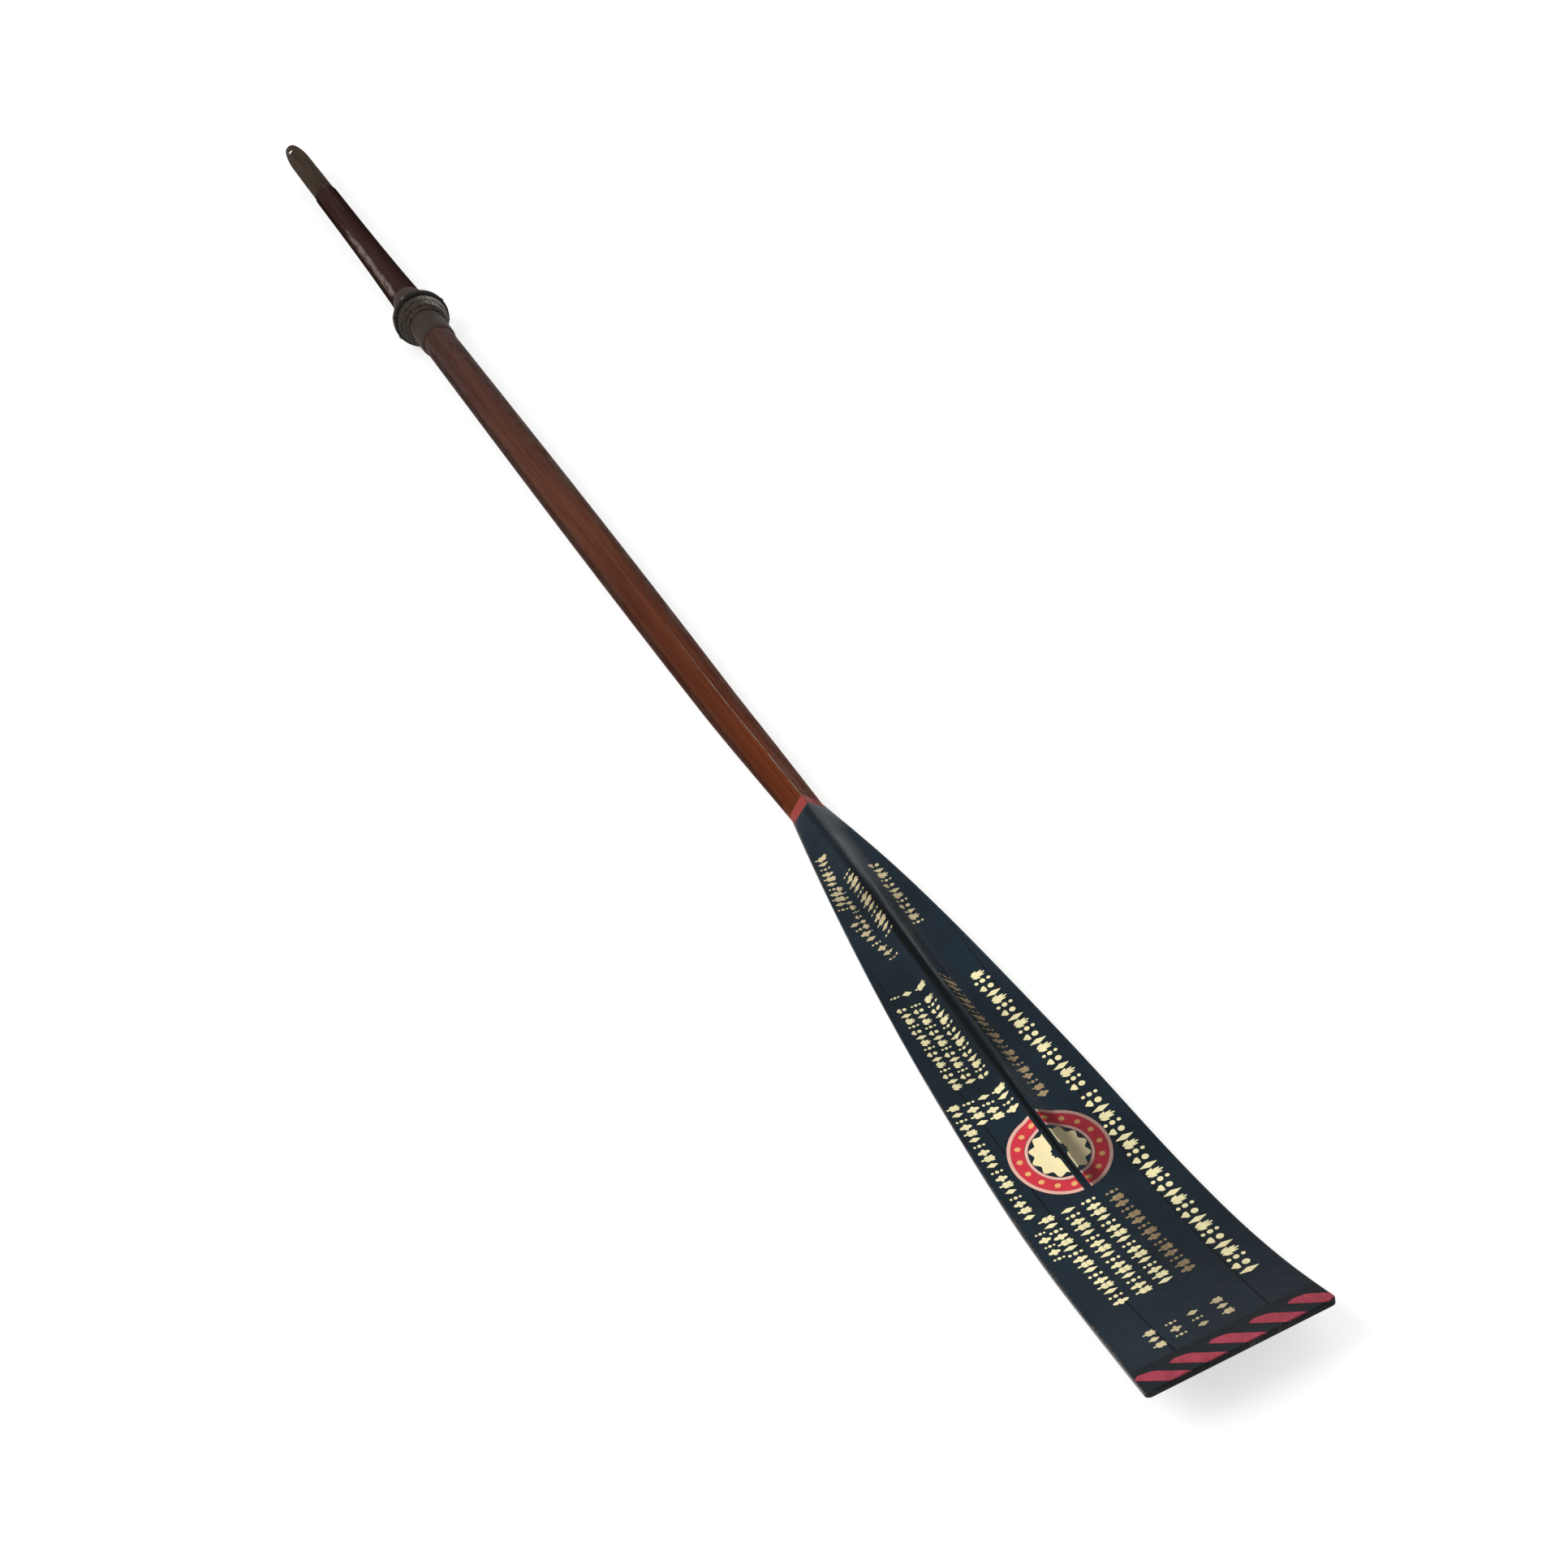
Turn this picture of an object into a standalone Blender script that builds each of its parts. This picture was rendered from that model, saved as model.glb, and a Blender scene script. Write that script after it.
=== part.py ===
# Wooden sweep oar with a spooned, spined blade, lying face up on its button and the blade's belly.

import math

import bmesh
import bpy
from mathutils import Vector

# Lengths along the oar in metres, measured from the blade's tip or from the piece named.
BLADE_LENGTH = 0.850
OUTBOARD_LENGTH = 2.562
INBOARD_LENGTH = 1.136
GRIP_LENGTH = 0.355
TIP_STRIP_LENGTH = 0.030

# The loom, which is the long shaft.
NECK_DIAMETER = 0.0358
SEAT_DIAMETER = 0.0520
SHOULDER_DIAMETER = 0.0442
LOOM_END_ROUND = 0.005
ARRIS_HEIGHT = 0.0022
ARRIS_RUN = 0.60
FACET_SHARE = 0.65
FACET_BEFORE_NECK = 0.090
FACET_BEYOND_NECK = 0.180
FACET_RISE = 0.060
FACET_FADE = 0.160
NECK_RISE = 0.0130
NECK_RISE_TOP = 0.790
NECK_RISE_RUN = 0.360
LOOM_SWELL_POWER = 3.3
HOLLOW_RADIUS = 0.0130
HOLLOW_FROM_NECK = 0.310
HOLLOW_NOSE = 0.040
BACK_STRIP_WIDTH = 0.0100
BACK_STRIP_DEPTH = 0.0060
BACK_STRIP_FROM_NECK = 0.020

# The blade. Its levels are heights over the loom's centre line.
TIP_WIDTH = 0.1560
BODY_WIDTH = 0.1470
FLARE_RUN = 0.150
WIDTH_POWER = 2.3
TIP_CORNER_RADIUS = 0.005
TIP_THICKNESS = 0.0070
EDGE_THICKNESS = 0.0062
EDGE_ROUND = 0.0030
ROOT_THICKNESS = 0.0190
FLAT_LEVEL = -0.003
SPOON_RISE = 0.051
SPOON_RUN = 0.275
SHOULDER_LIFT = 0.004
DISH_DEPTH = 0.004
RIDGE_HEIGHT = 0.0175
RIDGE_START = 0.215
RIDGE_FULL = 0.520
RIDGE_ROOT_WIDTH = 0.042
RIDGE_POINT_WIDTH = 0.014
SPINE_POINT_WIDTH = 0.016
INNER_CHEEK_WIDTH = 0.030
ROOT_BLEND = 0.090

# The grip.
GRIP_DIAMETER = 0.0405
GRIP_END_DIAMETER = 0.0270
GRIP_TAPER = 0.100
GRIP_START_ROUND = 0.0015
SPIGOT_LENGTH = 0.110
SPIGOT_NOSE = 0.006
GRIP_TACK_FROM_END = 0.062
GRIP_TACK_ANGLE = 28.0
GRIP_TACK_DIAMETER = 0.0095
GRIP_TACK_HEIGHT = 0.0016

# The leather: a sleeve round the loom, and the button's wound layers over it.
SLEEVE_OUTBOARD = 0.128
SLEEVE_INBOARD = 0.085
SLEEVE_THICKNESS = 0.0026
SLEEVE_EDGE = 0.0009
SLEEVE_SKIVE = 0.014
SEAM_GAP = 0.0006
LAYER_THICKNESS = 0.0040
LAYER_COUNT = 4
BASE_LAYER_WIDTH = 0.092
OUTER_LAYER_WIDTH = 0.024
LAYER_EDGE = 0.0014
LAYER_SKIVE = 0.0055
NAIL_COUNT = 8
NAIL_DIAMETER = 0.0070
NAIL_HEIGHT = 0.0013
SEAM_TACK_PAIRS = 3
SEAM_TACK_PITCH = 0.028
SEAM_TACK_DIAMETER = 0.0058
SEAM_TACK_HEIGHT = 0.0011
SEAM_TACK_INSET = 0.0055

# Clearance kept between neighbouring pieces.
GAP = 0.0003

# Fineness of the round pieces.
RING_STEPS = 32
GRIP_STEPS = 24
HALF_STEPS = 10
SIDE_ANGLE = 80.0

LOOM_END = OUTBOARD_LENGTH + INBOARD_LENGTH - GRIP_LENGTH
OAR_END = OUTBOARD_LENGTH + INBOARD_LENGTH
SLEEVE_START = OUTBOARD_LENGTH - SLEEVE_OUTBOARD
SLEEVE_END = OUTBOARD_LENGTH + SLEEVE_INBOARD
SLEEVE_OUTER = SEAT_DIAMETER / 2 + GAP + SLEEVE_THICKNESS
BUTTON_RADIUS = SLEEVE_OUTER + LAYER_COUNT * (GAP + LAYER_THICKNESS)


def smoothstep(value):
    """A smooth rise from 0 to 1 while value goes from 0 to 1."""
    value = min(1.0, max(0.0, value))
    return value * value * (3.0 - 2.0 * value)


def steps(first, last, count):
    """Evenly spaced values from first to last, both included."""
    return [first + (last - first) * i / count for i in range(count + 1)]


def loom_radius(s):
    """The loom's radius at the distance s from the tip."""
    neck, seat, shoulder = NECK_DIAMETER / 2, SEAT_DIAMETER / 2, SHOULDER_DIAMETER / 2
    if s <= SLEEVE_START:
        run = max(0.0, (s - BLADE_LENGTH) / (SLEEVE_START - BLADE_LENGTH))
        return seat - (seat - neck) * (1.0 - run) ** LOOM_SWELL_POWER
    if s <= SLEEVE_END:
        return seat
    run = min(1.0, (s - SLEEVE_END) / (LOOM_END - SLEEVE_END))
    radius = shoulder + (seat - shoulder) * (1.0 - run) ** 3
    into = max(0.0, (s - (LOOM_END - LOOM_END_ROUND)) / LOOM_END_ROUND)
    return radius - LOOM_END_ROUND * 0.5 * (1.0 - math.sqrt(max(0.0, 1.0 - into * into)))


def neck_rise(s):
    """How far the oar's centre line bows up at the neck, fading out both ways."""
    return NECK_RISE * (1.0 - smoothstep(abs(s - NECK_RISE_TOP) / NECK_RISE_RUN))


def root_share(s):
    """How far the blade's section has turned into the loom's round one: 0 on the blade, 1 at the neck."""
    return smoothstep((s - (BLADE_LENGTH - ROOT_BLEND)) / ROOT_BLEND)


def half_width(s):
    """Half the blade's width, or half the loom's where the blade has ended."""
    neck = loom_radius(BLADE_LENGTH) * math.sin(math.radians(SIDE_ANGLE))
    if s >= BLADE_LENGTH:
        return loom_radius(s) * math.sin(math.radians(SIDE_ANGLE))
    run = s / BLADE_LENGTH
    flare = (TIP_WIDTH - BODY_WIDTH) / 2 * max(0.0, 1.0 - s / FLARE_RUN) ** 2
    width = neck + (BODY_WIDTH / 2 - neck) * (1.0 - run**WIDTH_POWER) + flare
    if s < TIP_CORNER_RADIUS:
        inside = TIP_CORNER_RADIUS - s
        width -= TIP_CORNER_RADIUS - math.sqrt(TIP_CORNER_RADIUS**2 - inside**2)
    return width


def spine_half_width(s):
    """Half the width of the spine, which is what the loom becomes between the cheeks."""
    if s >= BLADE_LENGTH:
        return half_width(s)
    point = SPINE_POINT_WIDTH / 2
    return point + (half_width(BLADE_LENGTH) - point) * s / BLADE_LENGTH


def seam_at(s):
    """The distance from the middle plane to the seam between the inner and the outer cheek."""
    return spine_half_width(s) + INNER_CHEEK_WIDTH


def edge_thickness(s):
    """The blade's thickness along its edges, before they are rounded."""
    return TIP_THICKNESS + (EDGE_THICKNESS - TIP_THICKNESS) * smoothstep(s / SPOON_RUN)


def edge_level(s):
    """The height of the middle of the blade's edge: flat along the blade, curling up at the tip."""
    curl = SPOON_RISE * max(0.0, 1.0 - s / SPOON_RUN) ** 2
    run = (s / BLADE_LENGTH - 0.35) / 0.65
    lift = SHOULDER_LIFT * math.sin(math.pi * run) if 0.0 < run < 1.0 else 0.0
    return FLAT_LEVEL + curl + lift


def ridge_over_face(s, y):
    """The height of the spine's ridge over the blade's hollow face, with a crisp top and soft feet."""
    height = RIDGE_HEIGHT * smoothstep((s - RIDGE_START) / (RIDGE_FULL - RIDGE_START))
    run = min(1.0, s / BLADE_LENGTH)
    foot = (RIDGE_POINT_WIDTH + (RIDGE_ROOT_WIDTH - RIDGE_POINT_WIDTH) * run) / 2
    return height * max(0.0, 1.0 - abs(y) / foot) ** 1.4


def edge_rounding(s, y):
    """How much the blade loses on one side within EDGE_ROUND of its edge."""
    inside = max(0.0, half_width(s) - abs(y)) / EDGE_ROUND
    return 0.24 * edge_thickness(s) * max(0.0, 1.0 - inside) ** 2


def blade_top(s, y):
    """The blade's hollow face, with its ridge."""
    across = min(1.0, abs(y) / half_width(s))
    dish = DISH_DEPTH * math.sin(math.pi * min(1.0, s / BLADE_LENGTH)) ** 0.8
    level = edge_level(s) + edge_thickness(s) / 2 - dish * (1.0 - across**2.2)
    return level + ridge_over_face(s, y) - edge_rounding(s, y)


def blade_bottom(s, y):
    """The blade's rounded back."""
    across = min(1.0, abs(y) / half_width(s))
    dish = DISH_DEPTH * math.sin(math.pi * min(1.0, s / BLADE_LENGTH)) ** 0.8
    thickness = TIP_THICKNESS + (ROOT_THICKNESS - TIP_THICKNESS) * (s / BLADE_LENGTH) ** 0.8
    middle = edge_level(s) + edge_thickness(s) / 2 - dish - thickness
    edge = edge_level(s) - edge_thickness(s) / 2
    return edge - (edge - middle) * (1.0 - across**2.6) + edge_rounding(s, y)


def round_part(s, y):
    """The half height of the loom's round section at the offset y."""
    side = math.sin(math.radians(SIDE_ANGLE))
    across = min(1.0, abs(y) / half_width(s)) * side
    return loom_radius(max(s, BLADE_LENGTH)) * math.sqrt(1.0 - across * across)


def facets(s, y):
    """The loom's upper side, cut to two flat facets round the neck and round farther on."""
    come = smoothstep((s - (BLADE_LENGTH - FACET_BEFORE_NECK)) / FACET_RISE)
    go = smoothstep((BLADE_LENGTH + FACET_BEYOND_NECK - s) / FACET_FADE)
    share = FACET_SHARE * come * go
    across = min(1.0, abs(y) / half_width(s)) * math.sin(math.radians(SIDE_ANGLE))
    flat = loom_radius(max(s, BLADE_LENGTH)) * (1.0 - across)
    return (1.0 - share) * round_part(s, y) + share * flat


def arris(s, y):
    """The soft arris on the loom's upper side, which carries the blade's ridge on past the neck."""
    fade = max(0.0, 1.0 - max(0.0, s - BLADE_LENGTH) / ARRIS_RUN)
    reach = loom_radius(max(s, BLADE_LENGTH)) * 0.6
    return ARRIS_HEIGHT * root_share(s) * fade * max(0.0, 1.0 - abs(y) / reach) ** 1.4


def top_of(s, y):
    """The oar's upper surface."""
    share = root_share(s)
    upper = facets(s, y) + arris(s, y)
    return upper if share >= 1.0 else (1.0 - share) * blade_top(s, y) + share * upper


def bottom_of(s, y):
    """The oar's lower surface."""
    share = root_share(s)
    lower = -round_part(s, y)
    return lower if share >= 1.0 else (1.0 - share) * blade_bottom(s, y) + share * lower


def split_level(s):
    """The glue plane between the face half and the back half."""
    share = root_share(s)
    middle = (blade_top(s, half_width(s) * 0.4) + blade_bottom(s, 0.0)) / 2
    return 0.0 if share >= 1.0 else (1.0 - share) * middle


def split_half_width(s):
    """Half the width of the glue plane: the spine's on the blade, the full round on the loom."""
    wider = 1.0 / math.sin(math.radians(SIDE_ANGLE)) - 1.0
    return spine_half_width(s) * (1.0 + wider * (0.0 if s < BLADE_LENGTH else 1.0))


def long_stations():
    """The distances from the tip at which the long pieces have a section."""
    blade = steps(TIP_STRIP_LENGTH + GAP, SPOON_RUN, 7) + steps(SPOON_RUN, BLADE_LENGTH - ROOT_BLEND, 9)
    root = steps(BLADE_LENGTH - ROOT_BLEND, BLADE_LENGTH, 7)
    loom = steps(BLADE_LENGTH, SLEEVE_START, 10)
    seat = [SLEEVE_START + SLEEVE_SKIVE, OUTBOARD_LENGTH, SLEEVE_END - SLEEVE_SKIVE]
    inboard = steps(SLEEVE_END, LOOM_END - LOOM_END_ROUND, 6)
    rounded = steps(LOOM_END - LOOM_END_ROUND, LOOM_END, 3)
    return sorted(set(blade + root + loom + seat + inboard + rounded))


def within(first, last):
    """The long pieces' stations between two distances, with both ends."""
    inner = [s for s in long_stations() if first + 0.002 < s < last - 0.002]
    return [first] + inner + [last]


def at(s, y, z):
    """A point z over the oar's centre line, in a frame whose origin is on the loom's axis, in the button."""
    return Vector((s - OUTBOARD_LENGTH, y, z + neck_rise(s)))


def material(name, colour, roughness, metallic=0.0, coat=0.0):
    """A plain Principled material."""
    made = bpy.data.materials.new(name)
    made.use_nodes = True
    shader = made.node_tree.nodes["Principled BSDF"]
    shader.inputs["Base Color"].default_value = (*colour, 1.0)
    shader.inputs["Roughness"].default_value = roughness
    shader.inputs["Metallic"].default_value = metallic
    shader.inputs["Coat Weight"].default_value = coat
    made.diffuse_color = (*colour, 1.0)
    return made


def finish_piece(mesh_data, name, finish, parent):
    """Turns bmesh data into a smooth-shaded object on the oar's frame."""
    bmesh.ops.recalc_face_normals(mesh_data, faces=mesh_data.faces)
    mesh = bpy.data.meshes.new(name)
    mesh_data.to_mesh(mesh)
    mesh_data.free()
    mesh.materials.append(finish)
    mesh.shade_smooth()
    mesh.set_sharp_from_angle(angle=math.radians(32))
    piece = bpy.data.objects.new(name, mesh)
    bpy.context.scene.collection.objects.link(piece)
    piece.parent = parent
    return piece


def loft(sections, name, finish, parent):
    """A closed solid through sections of equal point count, with a flat face on each end."""
    data = bmesh.new()
    rows = [[data.verts.new(point) for point in section] for section in sections]
    count = len(rows[0])
    for row, following in zip(rows, rows[1:]):
        for i in range(count):
            j = (i + 1) % count
            data.faces.new((row[i], row[j], following[j], following[i]))
    data.faces.new(rows[0])
    data.faces.new(rows[-1])
    return finish_piece(data, name, finish, parent)


def split_ring(profile, slit_degrees, name, finish, parent):
    """A leather strip bent round the loom until its ends meet: profile holds (s, inner, outer)."""
    data = bmesh.new()
    rows = []
    for s, inner, outer in profile:
        half_slit = SEAM_GAP / 2 / outer
        turns = [2 * math.pi * i / RING_STEPS for i in range(RING_STEPS + 1)]
        turns[0] += half_slit
        turns[-1] -= half_slit
        angles = [math.radians(slit_degrees) + turn for turn in turns]
        outside = [at(s, outer * math.cos(a), outer * math.sin(a)) for a in angles]
        inside = [at(s, inner * math.cos(a), inner * math.sin(a)) for a in reversed(angles)]
        rows.append([data.verts.new(point) for point in outside + inside])
    count = len(rows[0])
    for row, following in zip(rows, rows[1:]):
        for i in range(count):
            j = (i + 1) % count
            data.faces.new((row[i], row[j], following[j], following[i]))
    for row in (rows[0], rows[-1]):
        for i in range(count // 2 - 1):
            data.faces.new((row[i], row[i + 1], row[count - 2 - i], row[count - 1 - i]))
    return finish_piece(data, name, finish, parent)


def turned(profile, segments, name, finish, parent):
    """A solid turned about the oar's axis from (s, radius) pairs, flat on both ends."""
    sections = []
    for s, radius in profile:
        angles = [2 * math.pi * i / segments for i in range(segments)]
        sections.append([at(s, radius * math.cos(a), radius * math.sin(a)) for a in angles])
    return loft(sections, name, finish, parent)


def domed_head(diameter, height, name, finish, parent, seat, outward):
    """A tack's domed head with its flat underside on seat, facing outward."""
    data = bmesh.new()
    levels = [(0.0, 0.92), (0.30, 1.0), (0.72, 0.80), (1.0, 0.36)]
    rows = []
    for rise, share in levels:
        radius = diameter / 2 * share
        angles = [2 * math.pi * i / 10 for i in range(10)]
        points = [Vector((radius * math.cos(a), radius * math.sin(a), height * rise)) for a in angles]
        rows.append([data.verts.new(point) for point in points])
    for row, following in zip(rows, rows[1:]):
        for i in range(10):
            j = (i + 1) % 10
            data.faces.new((row[i], row[j], following[j], following[i]))
    data.faces.new(rows[0])
    data.faces.new(rows[-1])
    head = finish_piece(data, name, finish, parent)
    head.location = seat + outward * GAP
    head.rotation_mode = "QUATERNION"
    head.rotation_quaternion = outward.to_track_quat("Z", "Y")
    return head


def as_cutter(piece, target, label):
    """Hides a piece and cuts it out of the target."""
    piece.hide_render = True
    piece.display_type = "WIRE"
    cut = target.modifiers.new(label, "BOOLEAN")
    cut.operation = "DIFFERENCE"
    cut.solver = "EXACT"
    cut.object = piece


def arc_offsets():
    """Offsets across a half section as shares of its half width, even in angle on the round."""
    side = math.radians(SIDE_ANGLE)
    return [math.sin(side * turn) / math.sin(side) for turn in steps(-1.0, 1.0, HALF_STEPS)]


def make_loom_half(face_side, finish, parent):
    """The loom's upper or lower half, which runs on between the cheeks as the blade's spine."""
    surface, sign = (top_of, 1.0) if face_side else (bottom_of, -1.0)
    sections = []
    for s in long_stations():
        half = spine_half_width(s)
        level = split_level(s) + sign * GAP / 2
        side = split_half_width(s)
        arc = [at(s, share * half, surface(s, share * half)) for share in arc_offsets()]
        sections.append(arc + [at(s, side, level), at(s, -side, level)])
    name = "loom_face_half" if face_side else "loom_back_half"
    return loft(sections, name, finish, parent)


def make_hollow(finish, parent):
    """The spindle that hollows both halves, open at the loom's handle end."""
    start = BLADE_LENGTH + HOLLOW_FROM_NECK
    profile = [
        (start, HOLLOW_RADIUS * 0.25),
        (start + HOLLOW_NOSE, HOLLOW_RADIUS),
        (LOOM_END + 0.05, HOLLOW_RADIUS),
    ]
    return turned(profile, GRIP_STEPS, "hollow_cutter", finish, parent)


def strip_sections(spare, below):
    """The back strip's sections, or those of its groove with some room to spare."""
    first = BLADE_LENGTH + BACK_STRIP_FROM_NECK
    stations = within(first, LOOM_END - LOOM_END_ROUND)
    stations[0] -= spare
    stations[-1] += spare
    sections = []
    for s in stations:
        half = BACK_STRIP_WIDTH / 2 + spare
        seat = bottom_of(s, 0.0) + BACK_STRIP_DEPTH + spare
        low = [at(s, y, bottom_of(s, y) - below) for y in (half, 0.0, -half)]
        sections.append([at(s, -half, seat), at(s, half, seat)] + low)
    return sections


def make_loom(finish, strip_finish, parent):
    """The loom's two halves, hollowed together, and the hardwood strip let into its back."""
    face = make_loom_half(True, finish, parent)
    back = make_loom_half(False, finish, parent)
    hollow = make_hollow(finish, parent)
    as_cutter(hollow, face, "hollow")
    as_cutter(hollow, back, "hollow")
    groove = loft(strip_sections(GAP, 0.004), "groove_cutter", finish, parent)
    as_cutter(groove, back, "strip_groove")
    loft(strip_sections(0.0, 0.0), "loom_back_strip", strip_finish, parent)


def board_section(s, inner, outer, sign):
    """A cheek's section between two offsets from the middle plane."""
    shares = (0.0, 0.35, 0.65, 0.86, 0.95, 1.0)
    offsets = [inner + (outer - inner) * share for share in shares]
    over = [at(s, sign * y, top_of(s, y)) for y in offsets]
    under = [at(s, sign * y, bottom_of(s, y)) for y in reversed(offsets)]
    return over + under


def make_cheeks(finish, parent):
    """The four boards glued to the spine's sides, which give the blade its width."""
    tip = TIP_STRIP_LENGTH + GAP
    least = 0.0016
    root = max(s for s in steps(tip, BLADE_LENGTH, 200) if half_width(s) - spine_half_width(s) > least)
    outer_root = max(s for s in steps(tip, BLADE_LENGTH, 200) if half_width(s) - seam_at(s) > least)
    for label, sign in (("left", -1.0), ("right", 1.0)):
        sections = []
        for s in within(tip, root):
            outer = min(seam_at(s) - GAP / 2, half_width(s))
            sections.append(board_section(s, spine_half_width(s) + GAP, outer, sign))
        loft(sections, f"blade_{label}_inner_cheek", finish, parent)
        sections = []
        for s in within(tip, outer_root):
            sections.append(board_section(s, seam_at(s) + GAP / 2, half_width(s), sign))
        loft(sections, f"blade_{label}_outer_cheek", finish, parent)


def make_tip_strip(finish, parent):
    """The cross-grained strip that closes the blade's end."""
    rounded = [TIP_CORNER_RADIUS * (1.0 - math.cos(turn)) for turn in steps(0.0, math.pi / 2, 5)]
    shares = [math.sin(turn * math.pi / 2) for turn in steps(-1.0, 1.0, 14)]
    sections = []
    for s in rounded + [TIP_STRIP_LENGTH]:
        half = half_width(s)
        over = [at(s, share * half, top_of(s, share * half)) for share in shares]
        under = [at(s, share * half, bottom_of(s, share * half)) for share in reversed(shares)]
        sections.append(over + under)
    loft(sections, "blade_tip_strip", finish, parent)


def grip_radius(s):
    """The grip's radius, tapering to a rounded end."""
    end = GRIP_END_DIAMETER / 2
    into = max(0.0, 1.0 - (OAR_END - s) / GRIP_TAPER)
    start = max(0.0, 1.0 - (s - LOOM_END - GAP) / 0.003)
    return GRIP_DIAMETER / 2 - (GRIP_DIAMETER / 2 - end) * into**2.2 - GRIP_START_ROUND * start**2


def make_grip(finish, tack_finish, parent):
    """The turned grip with its spigot in the loom's open end, and a pale tack near its end."""
    spigot = HOLLOW_RADIUS - GAP - 0.0001
    foot = LOOM_END - SPIGOT_LENGTH
    profile = [(foot, spigot - 0.003), (foot + SPIGOT_NOSE, spigot), (LOOM_END + GAP, spigot)]
    body = [LOOM_END + GAP, LOOM_END + 0.003, LOOM_END + 0.12]
    body += steps(OAR_END - GRIP_TAPER, OAR_END, 9)
    profile += [(s, grip_radius(s)) for s in body]
    turned(profile, GRIP_STEPS, "grip", finish, parent)
    s = OAR_END - GRIP_TACK_FROM_END
    angle = math.radians(GRIP_TACK_ANGLE)
    outward = Vector((0.0, math.sin(angle), math.cos(angle)))
    seat = at(s, 0.0, 0.0) + outward * grip_radius(s)
    slope = (grip_radius(s - 0.005) - grip_radius(s + 0.005)) / 0.01
    outward = (outward + Vector((slope, 0.0, 0.0))).normalized()
    domed_head(GRIP_TACK_DIAMETER, GRIP_TACK_HEIGHT, "grip_tack", tack_finish, parent, seat, outward)


def make_sleeve(finish, tack_finish, parent):
    """The leather sleeve, butted along its underside, with tacks on both sides of the seam."""
    inner = SEAT_DIAMETER / 2 + GAP
    thin, full = inner + SLEEVE_EDGE, inner + SLEEVE_THICKNESS
    profile = [
        (SLEEVE_START, inner, thin),
        (SLEEVE_START + SLEEVE_SKIVE, inner, full),
        (OUTBOARD_LENGTH, inner, full),
        (SLEEVE_END - SLEEVE_SKIVE, inner, full),
        (SLEEVE_END, inner, thin),
    ]
    split_ring(profile, -90.0, "leather_sleeve", finish, parent)
    first = SLEEVE_START + SLEEVE_SKIVE + 0.004
    for i in range(SEAM_TACK_PAIRS):
        for j, side in enumerate((-1.0, 1.0)):
            angle = side * (SEAM_TACK_INSET / SLEEVE_OUTER)
            outward = Vector((0.0, math.sin(angle), -math.cos(angle)))
            seat = at(first + i * SEAM_TACK_PITCH, 0.0, 0.0) + outward * SLEEVE_OUTER
            name = f"sleeve_tack_{2 * i + j + 1}"
            domed_head(SEAM_TACK_DIAMETER, SEAM_TACK_HEIGHT, name, tack_finish, parent, seat, outward)


def layer_width(index):
    """The width of a layer of the button, falling evenly from the base layer to the outer one."""
    fall = (BASE_LAYER_WIDTH - OUTER_LAYER_WIDTH) / max(1, LAYER_COUNT - 1)
    return BASE_LAYER_WIDTH - fall * index


def make_button(finish, nail_finish, parent):
    """The button: layers of leather wound over the sleeve, skived at their sides and nailed."""
    for index in range(LAYER_COUNT):
        inner = SLEEVE_OUTER + GAP + index * (LAYER_THICKNESS + GAP)
        outer = inner + LAYER_THICKNESS
        start = OUTBOARD_LENGTH - layer_width(index) / 2
        end = OUTBOARD_LENGTH + layer_width(index) / 2
        profile = [
            (start, inner, inner + LAYER_EDGE),
            (start + LAYER_SKIVE, inner, outer - 0.0004),
            (start + LAYER_SKIVE + 0.002, inner, outer),
            (end - LAYER_SKIVE - 0.002, inner, outer),
            (end - LAYER_SKIVE, inner, outer - 0.0004),
            (end, inner, inner + LAYER_EDGE),
        ]
        slit = 360.0 / RING_STEPS * (5 + 9 * index)
        split_ring(profile, slit, f"button_layer_{index + 1}", finish, parent)
    for i in range(NAIL_COUNT):
        angle = 2 * math.pi * (i + 0.5) / NAIL_COUNT
        outward = Vector((0.0, math.cos(angle), math.sin(angle)))
        flat = BUTTON_RADIUS * math.cos(math.pi / RING_STEPS)
        seat = at(OUTBOARD_LENGTH, 0.0, 0.0) + outward * max(flat, BUTTON_RADIUS)
        domed_head(NAIL_DIAMETER, NAIL_HEIGHT, f"button_nail_{i + 1}", nail_finish, parent, seat, outward)


def rest_slope():
    """The slope of the line under the button that just touches the blade's belly."""
    blade = [s for s in long_stations() if s < BLADE_LENGTH]
    return min((bottom_of(s, 0.0) + neck_rise(s) + BUTTON_RADIUS) / (OUTBOARD_LENGTH - s) for s in blade)


def lay_down(axis):
    """Turns the oar until button and belly touch the ground, centred over the origin."""
    axis.rotation_euler = (0.0, -math.atan(rest_slope()), 0.0)
    bpy.context.view_layer.update()
    corners = []
    for piece in bpy.context.scene.objects:
        if piece.type == "MESH" and not piece.hide_render:
            corners += [piece.matrix_world @ vertex.co for vertex in piece.data.vertices]
    low, high = min(p.x for p in corners), max(p.x for p in corners)
    axis.location = (-(low + high) / 2, 0.0, -min(p.z for p in corners))


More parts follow.
